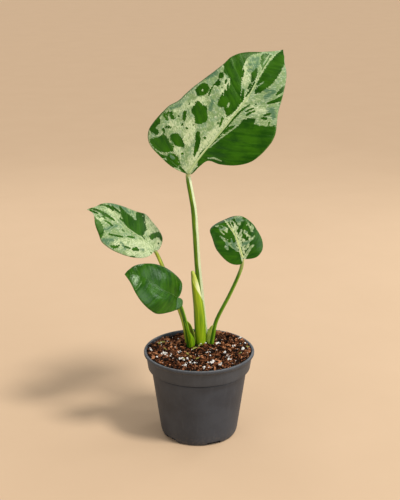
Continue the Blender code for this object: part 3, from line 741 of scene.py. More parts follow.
def veinRows(leaf, side):
    # (height on the midrib, point on the margin, place along the leaf) of each side vein, base to tip
    steps, stations = leaf["marginSteps"], leaf["stations"]
    margin = spaced(leaf["sides"][side], steps)
    step = leaf["length"] / stations
    marginStep = sum((b - a).length for a, b in zip(margin, margin[1:])) / steps
    made, station = [(0.0, margin[0], 0.0)], 0

    def addRow(station, k):
        made.append((station * step, margin[k], 0.5 * station * step + 0.4 * k * marginStep))

    for k, (before, here) in enumerate(zip(margin, margin[1:]), 1):
        out, rise = abs(here.x) - abs(before.x), here.y - before.y
        root = here.y - veinLean * abs(here.x)
        if out > 0 and rise > 0:
            root = max(root, here.y - abs(here.x) * rise / out + 0.5)
        wanted = min(max(math.ceil(root / step - 0.2), station), stations)
        for extra in range(station + 1, wanted):
            addRow(extra, k)
        station = wanted
        addRow(station, k)
    for extra in range(station + 1, stations + 1):
        addRow(extra, steps)
    return made


def onVein(leaf, root, end, share):
    start = Vector((ribCentre(leaf, root), root))
    forward = within((end.y - root) / (0.12 * leaf["length"]))
    rise = (veinBow - veinSag * forward) * (end.y - start.y)
    bow = start + Vector((veinBow * (end.x - start.x), rise))
    return start * (1 - share) ** 2 + bow * 2 * share * (1 - share) + end * share**2


def strokeDepth(strokes, x, y):
    # how far inside the nearest stroke each point lies, negative outside
    best = np.full(len(x), farOutside)
    for stroke in strokes:
        for (ax, ay, ar), (bx, by, br) in zip(stroke, stroke[1:] or stroke):
            dx, dy = bx - ax, by - ay
            share = np.clip(((x - ax) * dx + (y - ay) * dy) / max(dx * dx + dy * dy, 1e-6), 0, 1)
            depth = ar + (br - ar) * share - np.hypot(x - ax - share * dx, y - ay - share * dy)
            best = np.maximum(best, depth)
    return best


def regionDepth(regions, x, y):
    # the same for closed outlines
    best = np.full(len(x), farOutside)
    for region in regions:
        ring = [tuple(point) for point in closedThrough(region)]
        inside = np.zeros(len(x), bool)
        for (ax, ay), (bx, by) in zip(ring, ring[1:]):
            if ay != by:
                inside ^= ((ay > y) != (by > y)) & (x < (bx - ax) * (y - ay) / (by - ay) + ax)
        edge = -strokeDepth([[(px, py, 0.0) for px, py in ring]], x, y)
        best = np.maximum(best, np.where(inside, edge, -edge))
    return best


def halfBlade(leaf, bm, side, layers):
    # a grid whose rows follow the side veins from the midrib to one margin
    rows, columns = veinRows(leaf, side), leaf["columns"]
    grid = bmesh.ops.create_grid(bm, x_segments=len(rows) - 1, y_segments=columns, size=0.5)
    for vert in grid["verts"]:
        root, end, station = rows[round((vert.co.x + 0.5) * (len(rows) - 1))]
        share = round((vert.co.y + 0.5) * columns) / columns
        spread = share**columnPower
        flat = onVein(leaf, root, end, spread)
        out = (flat - Vector((ribCentre(leaf, root), root))).length
        # pleats between the veins, waves at the margin and slow swells
        pleat = abs(math.sin(math.pi * station / leaf["veinSpacing"])) ** 0.7
        body = ease(spread, 0.02, 0.3) * (1 - 0.75 * ease(spread, 0.55, 1))
        lift = leaf["quilt"] * (pleat - 0.6) * body * ease(out, 2, 9)
        wave = noise.noise(Vector((station * 0.045, side * 7.3, len(leaf["name"]) * 1.7)))
        ripple = noise.noise(Vector((station * 0.12, side * 3.1 + 40, 2.0)))
        lift += leaf["wave"] * spread**3 * (wave * 1.6 + ripple * 0.7) * ease(out, 2, 14)
        swell = noise.noise(Vector((flat.x * 0.05, flat.y * 0.04, leaf["length"])))
        lift += leaf["swell"] * swell * ease(out, 1, 14)
        vert.co = onLeaf(leaf, flat.x, flat.y, lift) * mm
        vert[layers["flatPlace"]] = (flat.x, flat.y, share)
        vert[layers["veinPlace"]] = (out, station + 30 * leaf["veinSpacing"] * side, spread)


def thicken(bm, shareLayer, upperLayer, thickness):
    # gives a sheet two skins that meet in a thin edge where the share is 1
    bm.normal_update()
    for vert in bm.verts:
        vert[upperLayer] = 1.0
    made = bmesh.ops.duplicate(bm, geom=bm.verts[:] + bm.edges[:] + bm.faces[:])["geom"]
    back = {v for v in made if isinstance(v, bmesh.types.BMVert)}
    for vert in bm.verts:
        half = thickness / 2 * math.sqrt(max(1 - vert[shareLayer].z ** 14, 0.05))
        if vert.is_boundary:
            half = 0
        vert.co += vert.normal * half * mm * (-1 if vert in back else 1)
        if vert in back:
            vert[upperLayer] = 0.0
    bmesh.ops.reverse_faces(bm, faces=[f for f in made if isinstance(f, bmesh.types.BMFace)])
    bmesh.ops.remove_doubles(bm, verts=[v for v in bm.verts if v.is_boundary], dist=0.002 * mm)


def makeLeaf(leaf, material):
    bm = bmesh.new()
    names = ("flatPlace", "veinPlace")
    layers = {name: bm.verts.layers.float_vector.new(name) for name in names}
    upper = bm.verts.layers.float.new("upperSide")
    for side in (0, 1):
        halfBlade(leaf, bm, side, layers)
    bmesh.ops.remove_doubles(bm, verts=bm.verts, dist=0.01 * mm)
    bmesh.ops.recalc_face_normals(bm, faces=bm.faces)
    if sum((f.normal * f.calc_area() for f in bm.faces), Vector()).dot(leaf["up"]) < 0:
        bmesh.ops.reverse_faces(bm, faces=bm.faces)
    thicken(bm, layers["flatPlace"], upper, bladeThickness)

    # how deep each point lies in the patches of each colour
    flat = np.array([tuple(v[layers["flatPlace"]]) for v in bm.verts])
    x, y = flat[:, 0], flat[:, 1]
    green = np.full(len(x), 8.0 if leaf["darkGround"] else farOutside)
    green = np.maximum(green, strokeDepth(leaf["green"], x, y) + 0.45)
    green = np.maximum(green, 0.6 * regionDepth(leaf["greenRegions"], x, y) + 0.25)
    green = np.minimum(green, -strokeDepth(leaf["gap"], x, y) - 0.3)
    green = np.maximum(green, strokeDepth(leaf["island"], x, y) + 0.3)
    tealAndSheen, cream = strokeDepth(leaf["tealAndSheen"], x, y), strokeDepth(leaf["cream"], x, y)
    name = leaf["name"] + "_blade"
    mesh = meshFrom(bm, name)
    for field, depth in (("greenDepth", green), ("tealAndSheenDepth", tealAndSheen), ("creamDepth", cream)):
        mesh.attributes.new(field, "FLOAT", "POINT").data.foreach_set("value", depth.astype(np.float32))
    keepPiece(name, mesh, [leaf["name"]], material, smooth=0)


leafColours = dict(
    mint=(0.205, 0.315, 0.125),
    greyMint=(0.185, 0.30, 0.16),
    cream=(0.58, 0.67, 0.38),
    flake=(0.84, 0.85, 0.66),
    fleck=(0.085, 0.20, 0.035),
    # grey-green of the tealAndSheen marks: partly real grey-green tissue, partly painted sheen
    tealAndSheen=(0.070, 0.165, 0.085),
    deep=(0.0080, 0.056, 0.0004),
    bright=(0.031, 0.124, 0.0008),
    edge=(0.10, 0.25, 0.01),
    under=(0.15, 0.27, 0.09),
)


def makeLeafPattern():
    # patchwork of the blades: ragged dark green patches on marbled mint and cream
    depths = {"Green Depth": "Float", "Teal And Sheen Depth": "Float", "Cream Depth": "Float"}
    places = {"Vein Place": "Vector", "Flat Place": "Vector", "Upper Side": "Float"}
    inputs = {**depths, **places, "Vein Spacing": "Float"}
    outputs = {"Color": "Color", "Roughness": "Float", "Height": "Float"}
    tree, n, given, made = newGroup("leafPattern", inputs, outputs)
    vein, tealAndSheen, c = given["Vein Place"], given["Teal And Sheen Depth"], leafColours
    flat = n.stretch(given["Flat Place"], (1, 1, 0))
    streak = n.strands(vein, (0.30, 1.0, 0), 3, 0.6)
    jag = n.plus(n.scaled(streak, 0.5, 2.6), n.scaled(n.noise(flat, 0.7, 3, 0.6), 0.5, 2.6))
    depth = n.plus(given["Green Depth"], jag)
    dark = n.step(depth, -0.12, 0.12)
    halo = n.math("SUBTRACT", n.step(depth, -1.3, -0.1), dark)

    # marbling: clouds of cream on mint, a little drawn out along the side veins
    marble = n.strands(vein, (0.24, 0.85, 0), 5, 0.72)
    blotch = n.noise(flat, 0.26, 6, 0.72, 0.8)
    creamy = n.step(given["Cream Depth"], -6, 3)
    share = n.weigh((marble, 0.46), (blotch, 0.54), (creamy, 0.105), (halo, 0.03))
    cloud = n.noise(flat, 0.13, 5, 0.65)
    ground = n.mix(n.step(cloud, 0.46, 0.58), c["mint"], c["greyMint"])
    pale = n.mix(n.step(share, 0.47, 0.66), ground, c["cream"])
    flake = n.step(n.strands(vein, (0.35, 1.3, 3), 4, 0.7), 0.575, 0.66)
    pale = n.tint(pale, flake, n.step(share, 0.44, 0.60), c["flake"])
    fleck = n.step(n.strands(vein, (0.45, 1.4, 0), 4, 0.7), 0.57, 0.65)
    pale = n.tint(pale, fleck, 0.6, c["fleck"])
    # the tealAndSheen marks tint the pale parts grey-green: partly real grey-green tissue, partly painted
    # sheen
    grey = n.step(n.plus(tealAndSheen, n.scaled(blotch, 0.5, 9)), -0.7, 0.7)
    core = n.math("MAXIMUM", n.step(marble, 0.64, 0.48), n.step(tealAndSheen, 0.9, 1.9))
    pale = n.tint(pale, n.times(grey, core), 0.88, c["tealAndSheen"])

    # the dark green, with paler side veins and margin
    drawn = n.strands(vein, (0.035, 0.20, 0), 4, 0.6)
    broad = n.noise(flat, 0.05, 4, 0.6, 0.5)
    shade = n.step(n.weigh((drawn, 0.55), (broad, 0.45)), 0.38, 0.62)
    deep = n.mix(shade, c["deep"], c["bright"])
    _, along, spread = n.split(vein)
    fromVein = n.math("PINGPONG", along, n.times(given["Vein Spacing"], 0.5))
    line = n.step(fromVein, 0.7, 0.05)
    deep = n.tint(deep, line, 0.05, c["edge"])
    deep = n.tint(deep, n.step(spread, 0.972, 0.992), 0.6, c["edge"])

    colour, lower = n.mix(dark, pale, deep), n.step(given["Upper Side"], 0.7, 0.3)
    n.put(made["Color"], n.tint(colour, lower, 0.55, c["under"]))
    sheen = n.weigh((dark, -0.12), (blotch, 0.15), (drawn, 0.5))
    n.put(made["Roughness"], n.plus(sheen, 0.125))
    n.put(made["Height"], n.weigh((n.noise(flat, 2.6, 3, 0.6), 0.6), (line, -0.5), (streak, 0.5)))
    return tree


def leafMaterial(leaf, pattern):
    material, n = newMaterial(leaf["name"] + "Skin", 0.5, leaf["gloss"], leaf["waxTint"])
    inputs = {
        "Green Depth": n.attribute("greenDepth"),
        "Teal And Sheen Depth": n.attribute("tealAndSheenDepth"),
        "Cream Depth": n.attribute("creamDepth"),
        "Vein Place": n.attribute("veinPlace", "Vector"),
        "Flat Place": n.attribute("flatPlace", "Vector"),
        "Upper Side": n.attribute("upperSide"),
        "Vein Spacing": leaf["veinSpacing"],
    }
    skin = n.group(pattern, inputs)
    n.surface(skin["Color"], skin["Height"], 0.00022, 0.5)
    n.put(n.shader["Roughness"], n.times(skin["Roughness"], leaf["polish"]))
    return material


# stalks

# A route's points are (x, y, z, radius) in millimetres. Each stalk runs on up the front of its blade
# as the midrib. Its colours are the darkest and lightest skin, the stripe, which starts at Stripe From
# of the way from the middle of the front to the right edge, and the midrib.

mainStalk = dict(
    name="main_petiole",
    paleTop=11,
    route=[(6.9, 24.4, 80, 4.4), (6.5, 23.8, 92, 4.4), (4.9, 22.8, 112, 4.2), (2.8, 21.0, 135, 4),
           (1, 18.5, 158, 3.7), (-1.7, 16.3, 190, 3.4), (-5, 14.7, 243, 3.15), (-7.5, 14.3, 262, 3),
           (-10.2, 14.4, 277, 2.9), (-11.6, 15.2, 286, 2.5)],
    skin={
        "Dark": (0.050, 0.150, 0.002),
        "Light": (0.150, 0.290, 0.006),
        "Stripe": (0.66, 0.76, 0.47),
        "Stripe From": 0.20,
        "Rib": (0.34, 0.46, 0.15),
        "Rib Light": (0.58, 0.67, 0.37),
    },
)
leftStalk = dict(
    name="left_petiole",
    paleTop=8,
    route=[(-11.3, 17, 80, 3.2), (-11.9, 18, 90, 3.1), (-13.6, 19.7, 103, 2.8), (-18.2, 22.2, 123, 2.3),
           (-27.3, 25.5, 147, 2.1), (-38, 29.8, 176, 2.1), (-45.9, 33.2, 194, 2)],
    skin={
        "Dark": (0.24, 0.32, 0.01),
        "Light": (0.56, 0.61, 0.07),
        "Stripe": (0.16, 0.24, 0.01),
        "Stripe From": 0.62,
        "Rib": (0.32, 0.46, 0.18),
        "Rib Light": (0.54, 0.64, 0.36),
    },
)
frontStalk = dict(
    name="front_petiole",
    paleTop=11,
    route=[(-9.4, 10.5, 80, 3.4), (-9.9, 10, 94, 3.4), (-11.5, 8.7, 105.5, 3), (-13.6, 7.2, 118, 2.5),
           (-16.3, 5.8, 131, 2.2), (-20, 4.6, 144, 2.1)],
    skin={
        "Dark": (0.022, 0.105, 0.001),
        "Light": (0.085, 0.225, 0.004),
        "Stripe": (0.20, 0.36, 0.012),
        "Stripe From": 0.55,
        "Rib": (0.024, 0.095, 0.002),
        "Rib Light": (0.045, 0.135, 0.006),
    },
)
rightStalk = dict(
    name="right_petiole",
    paleTop=26,
    route=[(12.8, 18.5, 80, 2.8), (13.4, 18, 93, 2.8), (15, 16.7, 104.5, 2.5), (19.4, 14.4, 125, 2.1),
           (33, 11, 155, 1.95), (42.3, 8.5, 178, 1.9), (45.8, 7.5, 190, 1.9)],
    skin={
        "Dark": (0.030, 0.125, 0.002),
        "Light": (0.090, 0.250, 0.005),
        "Stripe": (0.19, 0.37, 0.015),
        "Stripe From": 0.05,
        "Rib": (0.42, 0.53, 0.14),
        "Rib Light": (0.70, 0.74, 0.34),
    },
)
ribShares = (0.055, 0.11, 0.2, 0.3, 0.4, 0.5, 0.6, 0.7, 0.8, 0.87, 0.93, 0.97, 0.99)
stalkRings = 110  # on the stalk, and again on the midrib
stalkAround = 20
ribFlat = 0.12  # how much broader than deep the midrib is


def makeStalk(stalk, leaf, material):
    # one tube from inside the mix up to the blade and along it to the tip
    length, neck = leaf["length"], max(1.06 * leaf["ribRadius"], 0.8 * stalk["route"][-1][3])
    points = [*stalk["route"], (*onLeaf(leaf, 0, 1.5, -0.75 * neck), neck)]
    for share in ribShares:
        radius = leaf["ribRadius"] * max(0.2, 1.0 - 0.86 * share**0.8)
        spot = onLeaf(leaf, ribCentre(leaf, share * length), share * length, 0.22 - 0.42 * radius)
        points.append((*spot, radius))
    curve, split = through(points), curveSteps * len(stalk["route"])
    points = spaced(curve[:split], stalkRings) + spaced(curve[split:], stalkRings)
    reach, rings = reachAlong(points), len(points) - 1
    top = reach[stalkRings]
    bm = bmesh.new()
    around = bm.verts.layers.float_vector.new("aroundPlace")
    onRib = bm.verts.layers.float.new("ribShare")

    def place(share, angle, vert):
        # the front turns from -Y to the way the blade faces as the stalk nears its top
        k = round(share * rings)
        tangent = heading(points, k)
        facing = Vector((1, 0, 0)).lerp(leaf["across"], ease(reach[k], top - 18, top + 4))
        front = facing.cross(tangent).normalized()
        side = tangent.cross(front).normalized()
        radius = points[k].w if k < rings else 0.02
        vert[around] = (math.sin(angle), math.cos(angle), reach[k])
        vert[onRib] = ease(reach[k], top - stalk["paleTop"], top + 1)
        flat = 1 - ribFlat * vert[onRib]
        return points[k].to_3d() + side * math.sin(angle) * radius + front * math.cos(angle) * radius * flat

    bentTube(bm, rings, stalkAround, place)
    name = stalk["name"] + "_stalk"
    keepPiece(name, meshFrom(bm, name), [stalk["name"]], material)


def makeStalkSkin():
    # green skin with fine lines along it, a paler stripe on one side and a pale midrib
    colours = {label: "Color" for label in ("Dark", "Light", "Stripe", "Rib", "Rib Light")}
    inputs = {"Around Place": "Vector", "Rib Share": "Float", **colours, "Stripe From": "Float"}
    tree, n, given, made = newGroup("stalkSkin", inputs, {"Color": "Color", "Height": "Float"})
    around, start = given["Around Place"], given["Stripe From"]
    lines = n.strands(around, (4.0, 4.0, 0.035), 3, 0.6)
    slow = n.strands(around, (0.9, 0.9, 0.05), 2, 0.5)
    tone = n.weigh((lines, 0.55), (slow, 0.45))
    skin = n.mix(n.step(tone, 0.38, 0.62), given["Dark"], given["Light"])
    ragged = n.plus(n.split(around)[0], n.scaled(lines, 0.5, 0.5))
    skin = n.mix(n.step(ragged, start, n.plus(start, 0.14)), skin, given["Stripe"])
    ribTone = n.mix(n.step(lines, 0.4, 0.62), given["Rib"], given["Rib Light"])
    n.put(made["Color"], n.mix(given["Rib Share"], skin, ribTone))
    speck = n.strands(around, (6.0, 6.0, 0.8), 2, 0.5)
    n.put(made["Height"], n.plus(lines, n.times(speck, 0.35)))
    return tree


def stalkMaterial(stalk, skinGroup):
    material, n = newMaterial(stalk["name"] + "Skin", 0.34, 0.3)
    place = {"Around Place": n.attribute("aroundPlace", "Vector"), "Rib Share": n.attribute("ribShare")}
    skin = n.group(skinGroup, {**place, **stalk["skin"]})
    n.surface(skin["Color"], skin["Height"], 0.0002, 0.6)
    return material


# rolled new leaf and sheaths

spear = dict(
    route=[(2.0, 17.9, 83, 5.6), (2.0, 17.3, 92, 5.6), (1.85, 16.6, 100, 5.8), (1.3, 15.6, 115, 6.1),
           (0.6, 14.8, 128, 6.0), (-0.3, 14.0, 140, 5.55), (-1.5, 13.2, 150, 5.1),
           (-2.9, 12.5, 161, 4.6), (-4.3, 12.0, 170, 3.8), (-5.4, 12, 176, 2.9),
           (-6.4, 12.1, 179.8, 2.2), (-6.7, 12.2, 181.6, 1.4)],
    rings=190,
    around=72,
    openTop=178.0,  # the outer wrap's slanting edge runs from here at the left
    openFoot=148.0,  # down to here at the right
    openFrom=-75.0,  # degrees from the front towards +X
    openTo=80.0,
    step=0.75,  # how far the inner roll lies back from the wrap
    lapAngle=-62.0,  # where the wrap's edge overlaps, in the same degrees
    lapStep=0.45,
    clear=0.25,  # least gap to the tallest stalk
    wrap=((0.105, 0.255, 0.0005), (0.38, 0.54, 0.014)),  # darkest and lightest
    yellow=(0.42, 0.50, 0.02),
    shaded=(0.055, 0.15, 0.001),
    inner=((0.46, 0.55, 0.06), (0.62, 0.68, 0.14)),
    # painted highlight on the pale roll
    innerPaintedHighlight=(0.84, 0.87, 0.52),
    innerShaded=(0.15, 0.27, 0.004),
)
# A sheath is two flaps on one side of a stalk's foot. Each runs from its root round to its free edge,
# in degrees from the side that the sheath faces, and the free edge draws back to the root at the top.
frontSheath = dict(
    name="front_sheath",
    low=95.0,
    high=129.0,
    towards=(1, 0.12),
    far=dict(root=100, edge=-12, top=1.0, shut=0.62, flare=3.3, lift=0.85, pale=1.0),
    near=dict(root=104, edge=14, top=0.94, shut=0.04, flare=2.2, lift=1.3, pale=0.0),
)
rightSheath = dict(
    name="right_sheath",
    low=95.0,
    high=119.5,
    towards=(-0.93, 0.36),
    far=dict(root=95, edge=-14, top=1.0, shut=0.66, flare=3.2, lift=0.7, pale=0.8),
    near=dict(root=58, edge=4, top=0.97, shut=0.60, flare=3.2, lift=1.1, pale=0.75),
)
sheathSet = dict(
    rows=48,
    columns=26,
    thickness=0.55,
    softEdge=0.15,
    near=((0.075, 0.22, 0.001), (0.25, 0.43, 0.006)),  # darkest and lightest
    far=((0.20, 0.33, 0.02), (0.50, 0.58, 0.10)),
    blotch=(0.66, 0.70, 0.28),
)


def makeSpear(material):
    rings = spear["rings"]
    route = spaced(through(spear["route"]), rings)
    mainRoute = through(mainStalk["route"])
    bm = bmesh.new()
    around = bm.verts.layers.float_vector.new("aroundPlace")
    inner = bm.verts.layers.float.new("innerRoll")

    def place(share, angle, vert):
        point = route[round(share * rings)]
        degrees = (math.degrees(angle) + 180) % 360 - 180
        across = (degrees - spear["openFrom"]) / (spear["openTo"] - spear["openFrom"])
        cut = spear["openTop"] + (spear["openFoot"] - spear["openTop"]) * within(across)
        inside = ease(point.z, cut - 0.5, cut + 0.5) if 0 < across < 1.35 else 0.0
        lap = ((spear["lapAngle"] - degrees) % 360) / 360
        size = point.w + spear["lapStep"] * (ease(lap, 0, 0.12) - ease(lap, 0.12, 0.7)) * min(point.w / 4, 1)
        size -= spear["step"] * inside * min(point.w / 3, 1)
        spot = point.to_3d() + Vector((math.sin(angle), -math.cos(angle), 0)) * max(size, 0.1)
        axis = atHeight(mainRoute, spot.z)
        away = Vector((spot.x - axis.x, spot.y - axis.y))
        if away.length < axis.w + spear["clear"]:
            away = away.normalized() * (axis.w + spear["clear"])
            spot.x, spot.y = axis.x + away.x, axis.y + away.y
        vert[around] = (math.sin(angle), math.cos(angle), point.z)
        vert[inner] = inside
        return spot

    bentTube(bm, rings, spear["around"], place)
    keepPiece("new_leaf_roll", meshFrom(bm, "new_leaf_roll"), ["new_leaf_spear"], material)


def spearMaterial():
    # a green wrap, yellower upwards and with painted shade down its left side, round a pale roll with a
    # painted highlight where it comes out
    material, n = newMaterial("spearSkin", 0.34, 0.32)
    around = n.attribute("aroundPlace", "Vector")
    right, _, height = n.split(around)
    lines = n.strands(around, (3.2, 3.2, 0.02), 3, 0.6)
    fine = n.strands(around, (9.0, 9.0, 0.05), 2, 0.5)
    tone = n.weigh((lines, 0.65), (fine, 0.35))
    shadeSide = n.step(right, -0.45, -0.92)
    green = n.mix(n.step(tone, 0.38, 0.62), *spear["wrap"])
    green = n.tint(green, n.step(height, 120, 168), 0.45, spear["yellow"])
    green = n.tint(green, shadeSide, 0.75, spear["shaded"])
    # painted highlight on the pale roll near its top, on the right
    shine = n.times(n.step(right, -0.2, 0.35), n.step(height, 175, 164))
    inside = n.mix(n.step(fine, 0.38, 0.62), *spear["inner"])
    inside = n.tint(inside, shine, 0.8, spear["innerPaintedHighlight"])
    inside = n.tint(inside, shadeSide, 0.7, spear["innerShaded"])
    n.surface(n.mix(n.attribute("innerRoll"), green, inside), tone, 0.0003, 0.7)
    return material


def makeSheath(sheath, stalk, material):
    route = through(stalk["route"])
    side = Vector((*sheath["towards"], 0)).normalized()
    front = Vector((side.y, -side.x, 0))
    if front.y > 0:
        front = -front
    low, high = sheath["low"], sheath["high"]
    bm = bmesh.new()
    around = bm.verts.layers.float_vector.new("aroundPlace")
    pale = bm.verts.layers.float.new("paleFlap")
    for flap, way in ((sheath["near"], 1), (sheath["far"], -1)):
        root, flare = flap["root"], flap["flare"]
        rows, columns = sheathSet["rows"], sheathSet["columns"]
        grid = bmesh.ops.create_grid(bm, x_segments=rows, y_segments=columns, size=0.5)
        for vert in grid["verts"]:
            up, share = vert.co.x + 0.5, vert.co.y + 0.5
            axis = atHeight(route, low + (high - low) * flap["top"] * up)
            drawn = ease(up, flap["shut"], 1.25) / ease(1, flap["shut"], 1.25)
            edge = flap["edge"] + (root - 3 - flap["edge"]) * drawn
            angle = math.radians(root + (edge - root) * share) * way
            swell = math.sin(math.pi * min(up, 1) ** 0.9) * math.cos(angle / 1.6) ** 2
            reach = axis.w + 0.15 + flap["lift"] * ease(share, 0, 0.25) + flare * swell * ease(share, 0, 0.5)
            reach += 0.15 * noise.noise(Vector((angle * 2.2, up * 5, flare)))
            vert[around] = (math.sin(angle), math.cos(angle), axis.z)
            vert[pale] = flap["pale"]
            vert.co = (axis.to_3d() + (side * math.cos(angle) + front * math.sin(angle)) * reach) * mm
        faces = list({f for v in grid["verts"] for f in v.link_faces})
        bmesh.ops.recalc_face_normals(bm, faces=faces)
        if sum(f.normal.dot(side) * f.calc_area() for f in faces) < 0:
            bmesh.ops.reverse_faces(bm, faces=faces)
    name = sheath["name"]
    piece = keepPiece(name + "_skin", meshFrom(bm, name), [name], material)
    solid = piece.modifiers.new("Thickness", "SOLIDIFY")
    solid.thickness = sheathSet["thickness"] * mm
    solid.offset = 0
    soft = piece.modifiers.new("SoftEdge", "BEVEL")
    soft.width = sheathSet["softEdge"] * mm
    soft.segments = 2
    soft.limit_method = "ANGLE"


def sheathMaterial():
    material, n = newMaterial("sheathSkin", 0.4, 0.3)
    lines = n.strands(n.attribute("aroundPlace", "Vector"), (5.0, 5.0, 0.05), 3, 0.6)
    streak = n.step(lines, 0.36, 0.62)
    blotch = n.step(n.noise(n.place(), 220, 2, 0.5), 0.5, 0.7)
    far = n.tint(n.mix(streak, *sheathSet["far"]), blotch, 0.4, sheathSet["blotch"])
    colour = n.mix(n.attribute("paleFlap"), n.mix(streak, *sheathSet["near"]), far)
    n.surface(colour, lines, 0.0002, 0.6)
    return material


# potting mix

mixBed = dict(
    edge=93.1,  # height where it meets the wall
    heaped=2.0,  # how much higher it lies at the wall
    low=(112, 34),  # except round this way, and how widely, in degrees from +X
    radius=55.9,
    mound=2.6,
    moundSpread=16.0,
    stemY=12.0,
    rough=0.5,
    rings=48,
    steps=144,
    # (radius, height) of the underside, over the drain channel, and of the side up to the top
    side=[(0, 1.7), (17.5, 1.7), (20.1, 4.7), (38.9, 4.7), (42.0, 12.0), (46.0, 40.0), (50.7, 74.4),
          (53.9, 77.6), (55.4, 88.0), (55.9, 91.0)],
)
chipSet = dict(
    seed=11,
    limit=56.2,  # how far out from the pot's axis they lie
    # (batches, chips in each, widths, heights over the bed) of the bed and of the loose ones on it
    layers=[(15, 230, (1.2, 3.4), (-0.7, 0.5)), (8, 225, (1.4, 4.9), (0.2, 1.7))],
    # (x, y, width) of dark clods, and of bits of fresh growth among the bark
    clods=[(2.5, -3.5, 8.5), (7.5, 0.5, 7.0), (-2.5, -8.5, 6.0), (-27, 12, 6.5), (-19, 22, 6.0),
           (-33, 24, 5.0), (-21, 3, 5.5), (24, 22, 5.5), (33, 12, 5.0), (14, -8, 5.5), (28, -14, 5.0),
           (-6, -12, 5.0), (20, 33, 5.0)],
    green=[(-41, 21, 4.2), (-37, 1, 3.0), (-13, -12, 3.6), (-16, -25.5, 3.2), (-2, -24, 3.6),
           (44, -14, 3.0), (53, 3, 3.0), (-44, 17, 3.0), (-9, -19, 2.6)],
    black=(0.0030, 0.0010, 0.0004),
    brown=(0.128, 0.038, 0.012),
    tan=(0.50, 0.215, 0.098),
    dust=(0.26, 0.115, 0.06),
    fresh=(0.33, 0.30, 0.075),
)
perliteSet = dict(
    seed=5,
    limit=54.8,
    # (x, y, grains, width of the largest) of each group
    clusters=[(-52.5, -2.6, 2, 2.4), (-38.5, -11.5, 7, 2.8), (-36.5, -15.5, 5, 2.2),
              (-29.5, -14.5, 5, 2.0), (-22, -7.5, 4, 1.6), (-19, -26.5, 7, 2.8), (-12.5, -25, 3, 1.9),
              (-9.5, -36.5, 3, 1.9), (-4.8, -37.5, 3, 2.0), (-14, -44.5, 4, 2.3), (5.5, -49.5, 3, 2.0),
              (12.6, -37.5, 7, 2.7), (14.6, -33, 5, 2.1), (22.6, -45, 3, 2.0), (31.5, -30, 4, 2.2),
              (28, -8.5, 3, 1.9), (30, -18.5, 4, 1.8), (19.7, 13.5, 3, 2.6), (38.8, 5.5, 4, 2.4),
              (47.6, -3.2, 4, 2.9), (41.2, 36.4, 2, 2.4), (45.9, 27, 2, 2.2), (50.6, 12, 2, 2.0),
              (-45, -22, 2, 1.8), (9, -10, 3, 1.6)],
    loose=70,
    looseLimit=55,
    looseSize=(0.6, 1.7),
    shades=((0.74, 0.70, 0.62), (0.92, 0.91, 0.88)),
    pore=(0.5, 0.45, 0.38),
)
scaleLeaf = dict(
    spine=[(-8, -3, 0.4), (-5.5, -1, 1.15), (-2, 2.5, 1.3), (0.5, 5.5, 1.0), (2, 8, 0.4)],  # x, y, half width
    lift=1.7,
    rings=60,
    around=24,
    shades=((0.12, 0.16, 0.02), (0.42, 0.42, 0.09)),
)


def mixTop(x, y):
    # height of the top of the mix: a mound at the stalks, and a rim that is low at the back left
    share = math.hypot(x, y) / mixBed["radius"]
    way, width = mixBed["low"]
    low = math.exp(-(((math.degrees(math.atan2(y, x)) - way) / width) ** 2))
    height = mixBed["edge"] + mixBed["heaped"] * (1 - low) * ease(share, 0.3, 1) + 0.5 * (1 - share**2)
    lift = math.exp(-(x**2 + (y - mixBed["stemY"]) ** 2) / (2 * mixBed["moundSpread"] ** 2))
    height += mixBed["mound"] * lift + 1.6 * (x / mixBed["radius"]) * max(0, 0.5 + 0.5 * y / mixBed["radius"])
    return height + 0.35 * math.sin(0.31 * x + 1.3) * math.sin(0.27 * y + 0.4)


def makeMixBed(material):
    # a turned plug of mix with a rough, slightly heaped top
    count, edge = mixBed["rings"], mixBed["edge"]
    rings = [(mixBed["radius"] * (1 - k / count), edge) for k in range(count + 1)]
    bm = turned([*mixBed["side"], *rings], mixBed["steps"])
    for vert in bm.verts:
        if vert.co.z > (edge - 0.01) * mm:
            x, y = vert.co.x / mm, vert.co.y / mm
            dip = noise.noise(Vector((x * 0.45, y * 0.45, 3))) + 0.6 * noise.noise(Vector((x, y, 9)))
            vert.co.z = (mixTop(x, y) - 0.5 + mixBed["rough"] * dip) * mm
    mesh = meshFrom(bm, "potting_mix_bed")
    keepPiece("potting_mix_bed", mesh, ["potting_mix"], material)


def stalkFeet():
    # (x, y, radius) of what rises out of the mix: the roll, the two sheaths and the stalks
    feet = [(1.7, 17.0, 6.2), (-7.2, 10.4, 4.2), (10.6, 17.7, 4.0)]
    for stalk in (mainStalk, leftStalk, frontStalk, rightStalk):
        foot = atHeight(through(stalk["route"]), 94)
        feet.append((foot.x, foot.y, foot.w + 0.3))
    return feet


def scatterSpot(rnd, limit, feet, size):
    while True:
        x, y = rnd.uniform(-limit, limit), rnd.uniform(-limit, limit)
        free = all(math.hypot(x - fx, y - fy) > fr + 0.35 * size for fx, fy, fr in feet)
        if math.hypot(x, y) + 0.3 * size < limit and free:
            return x, y


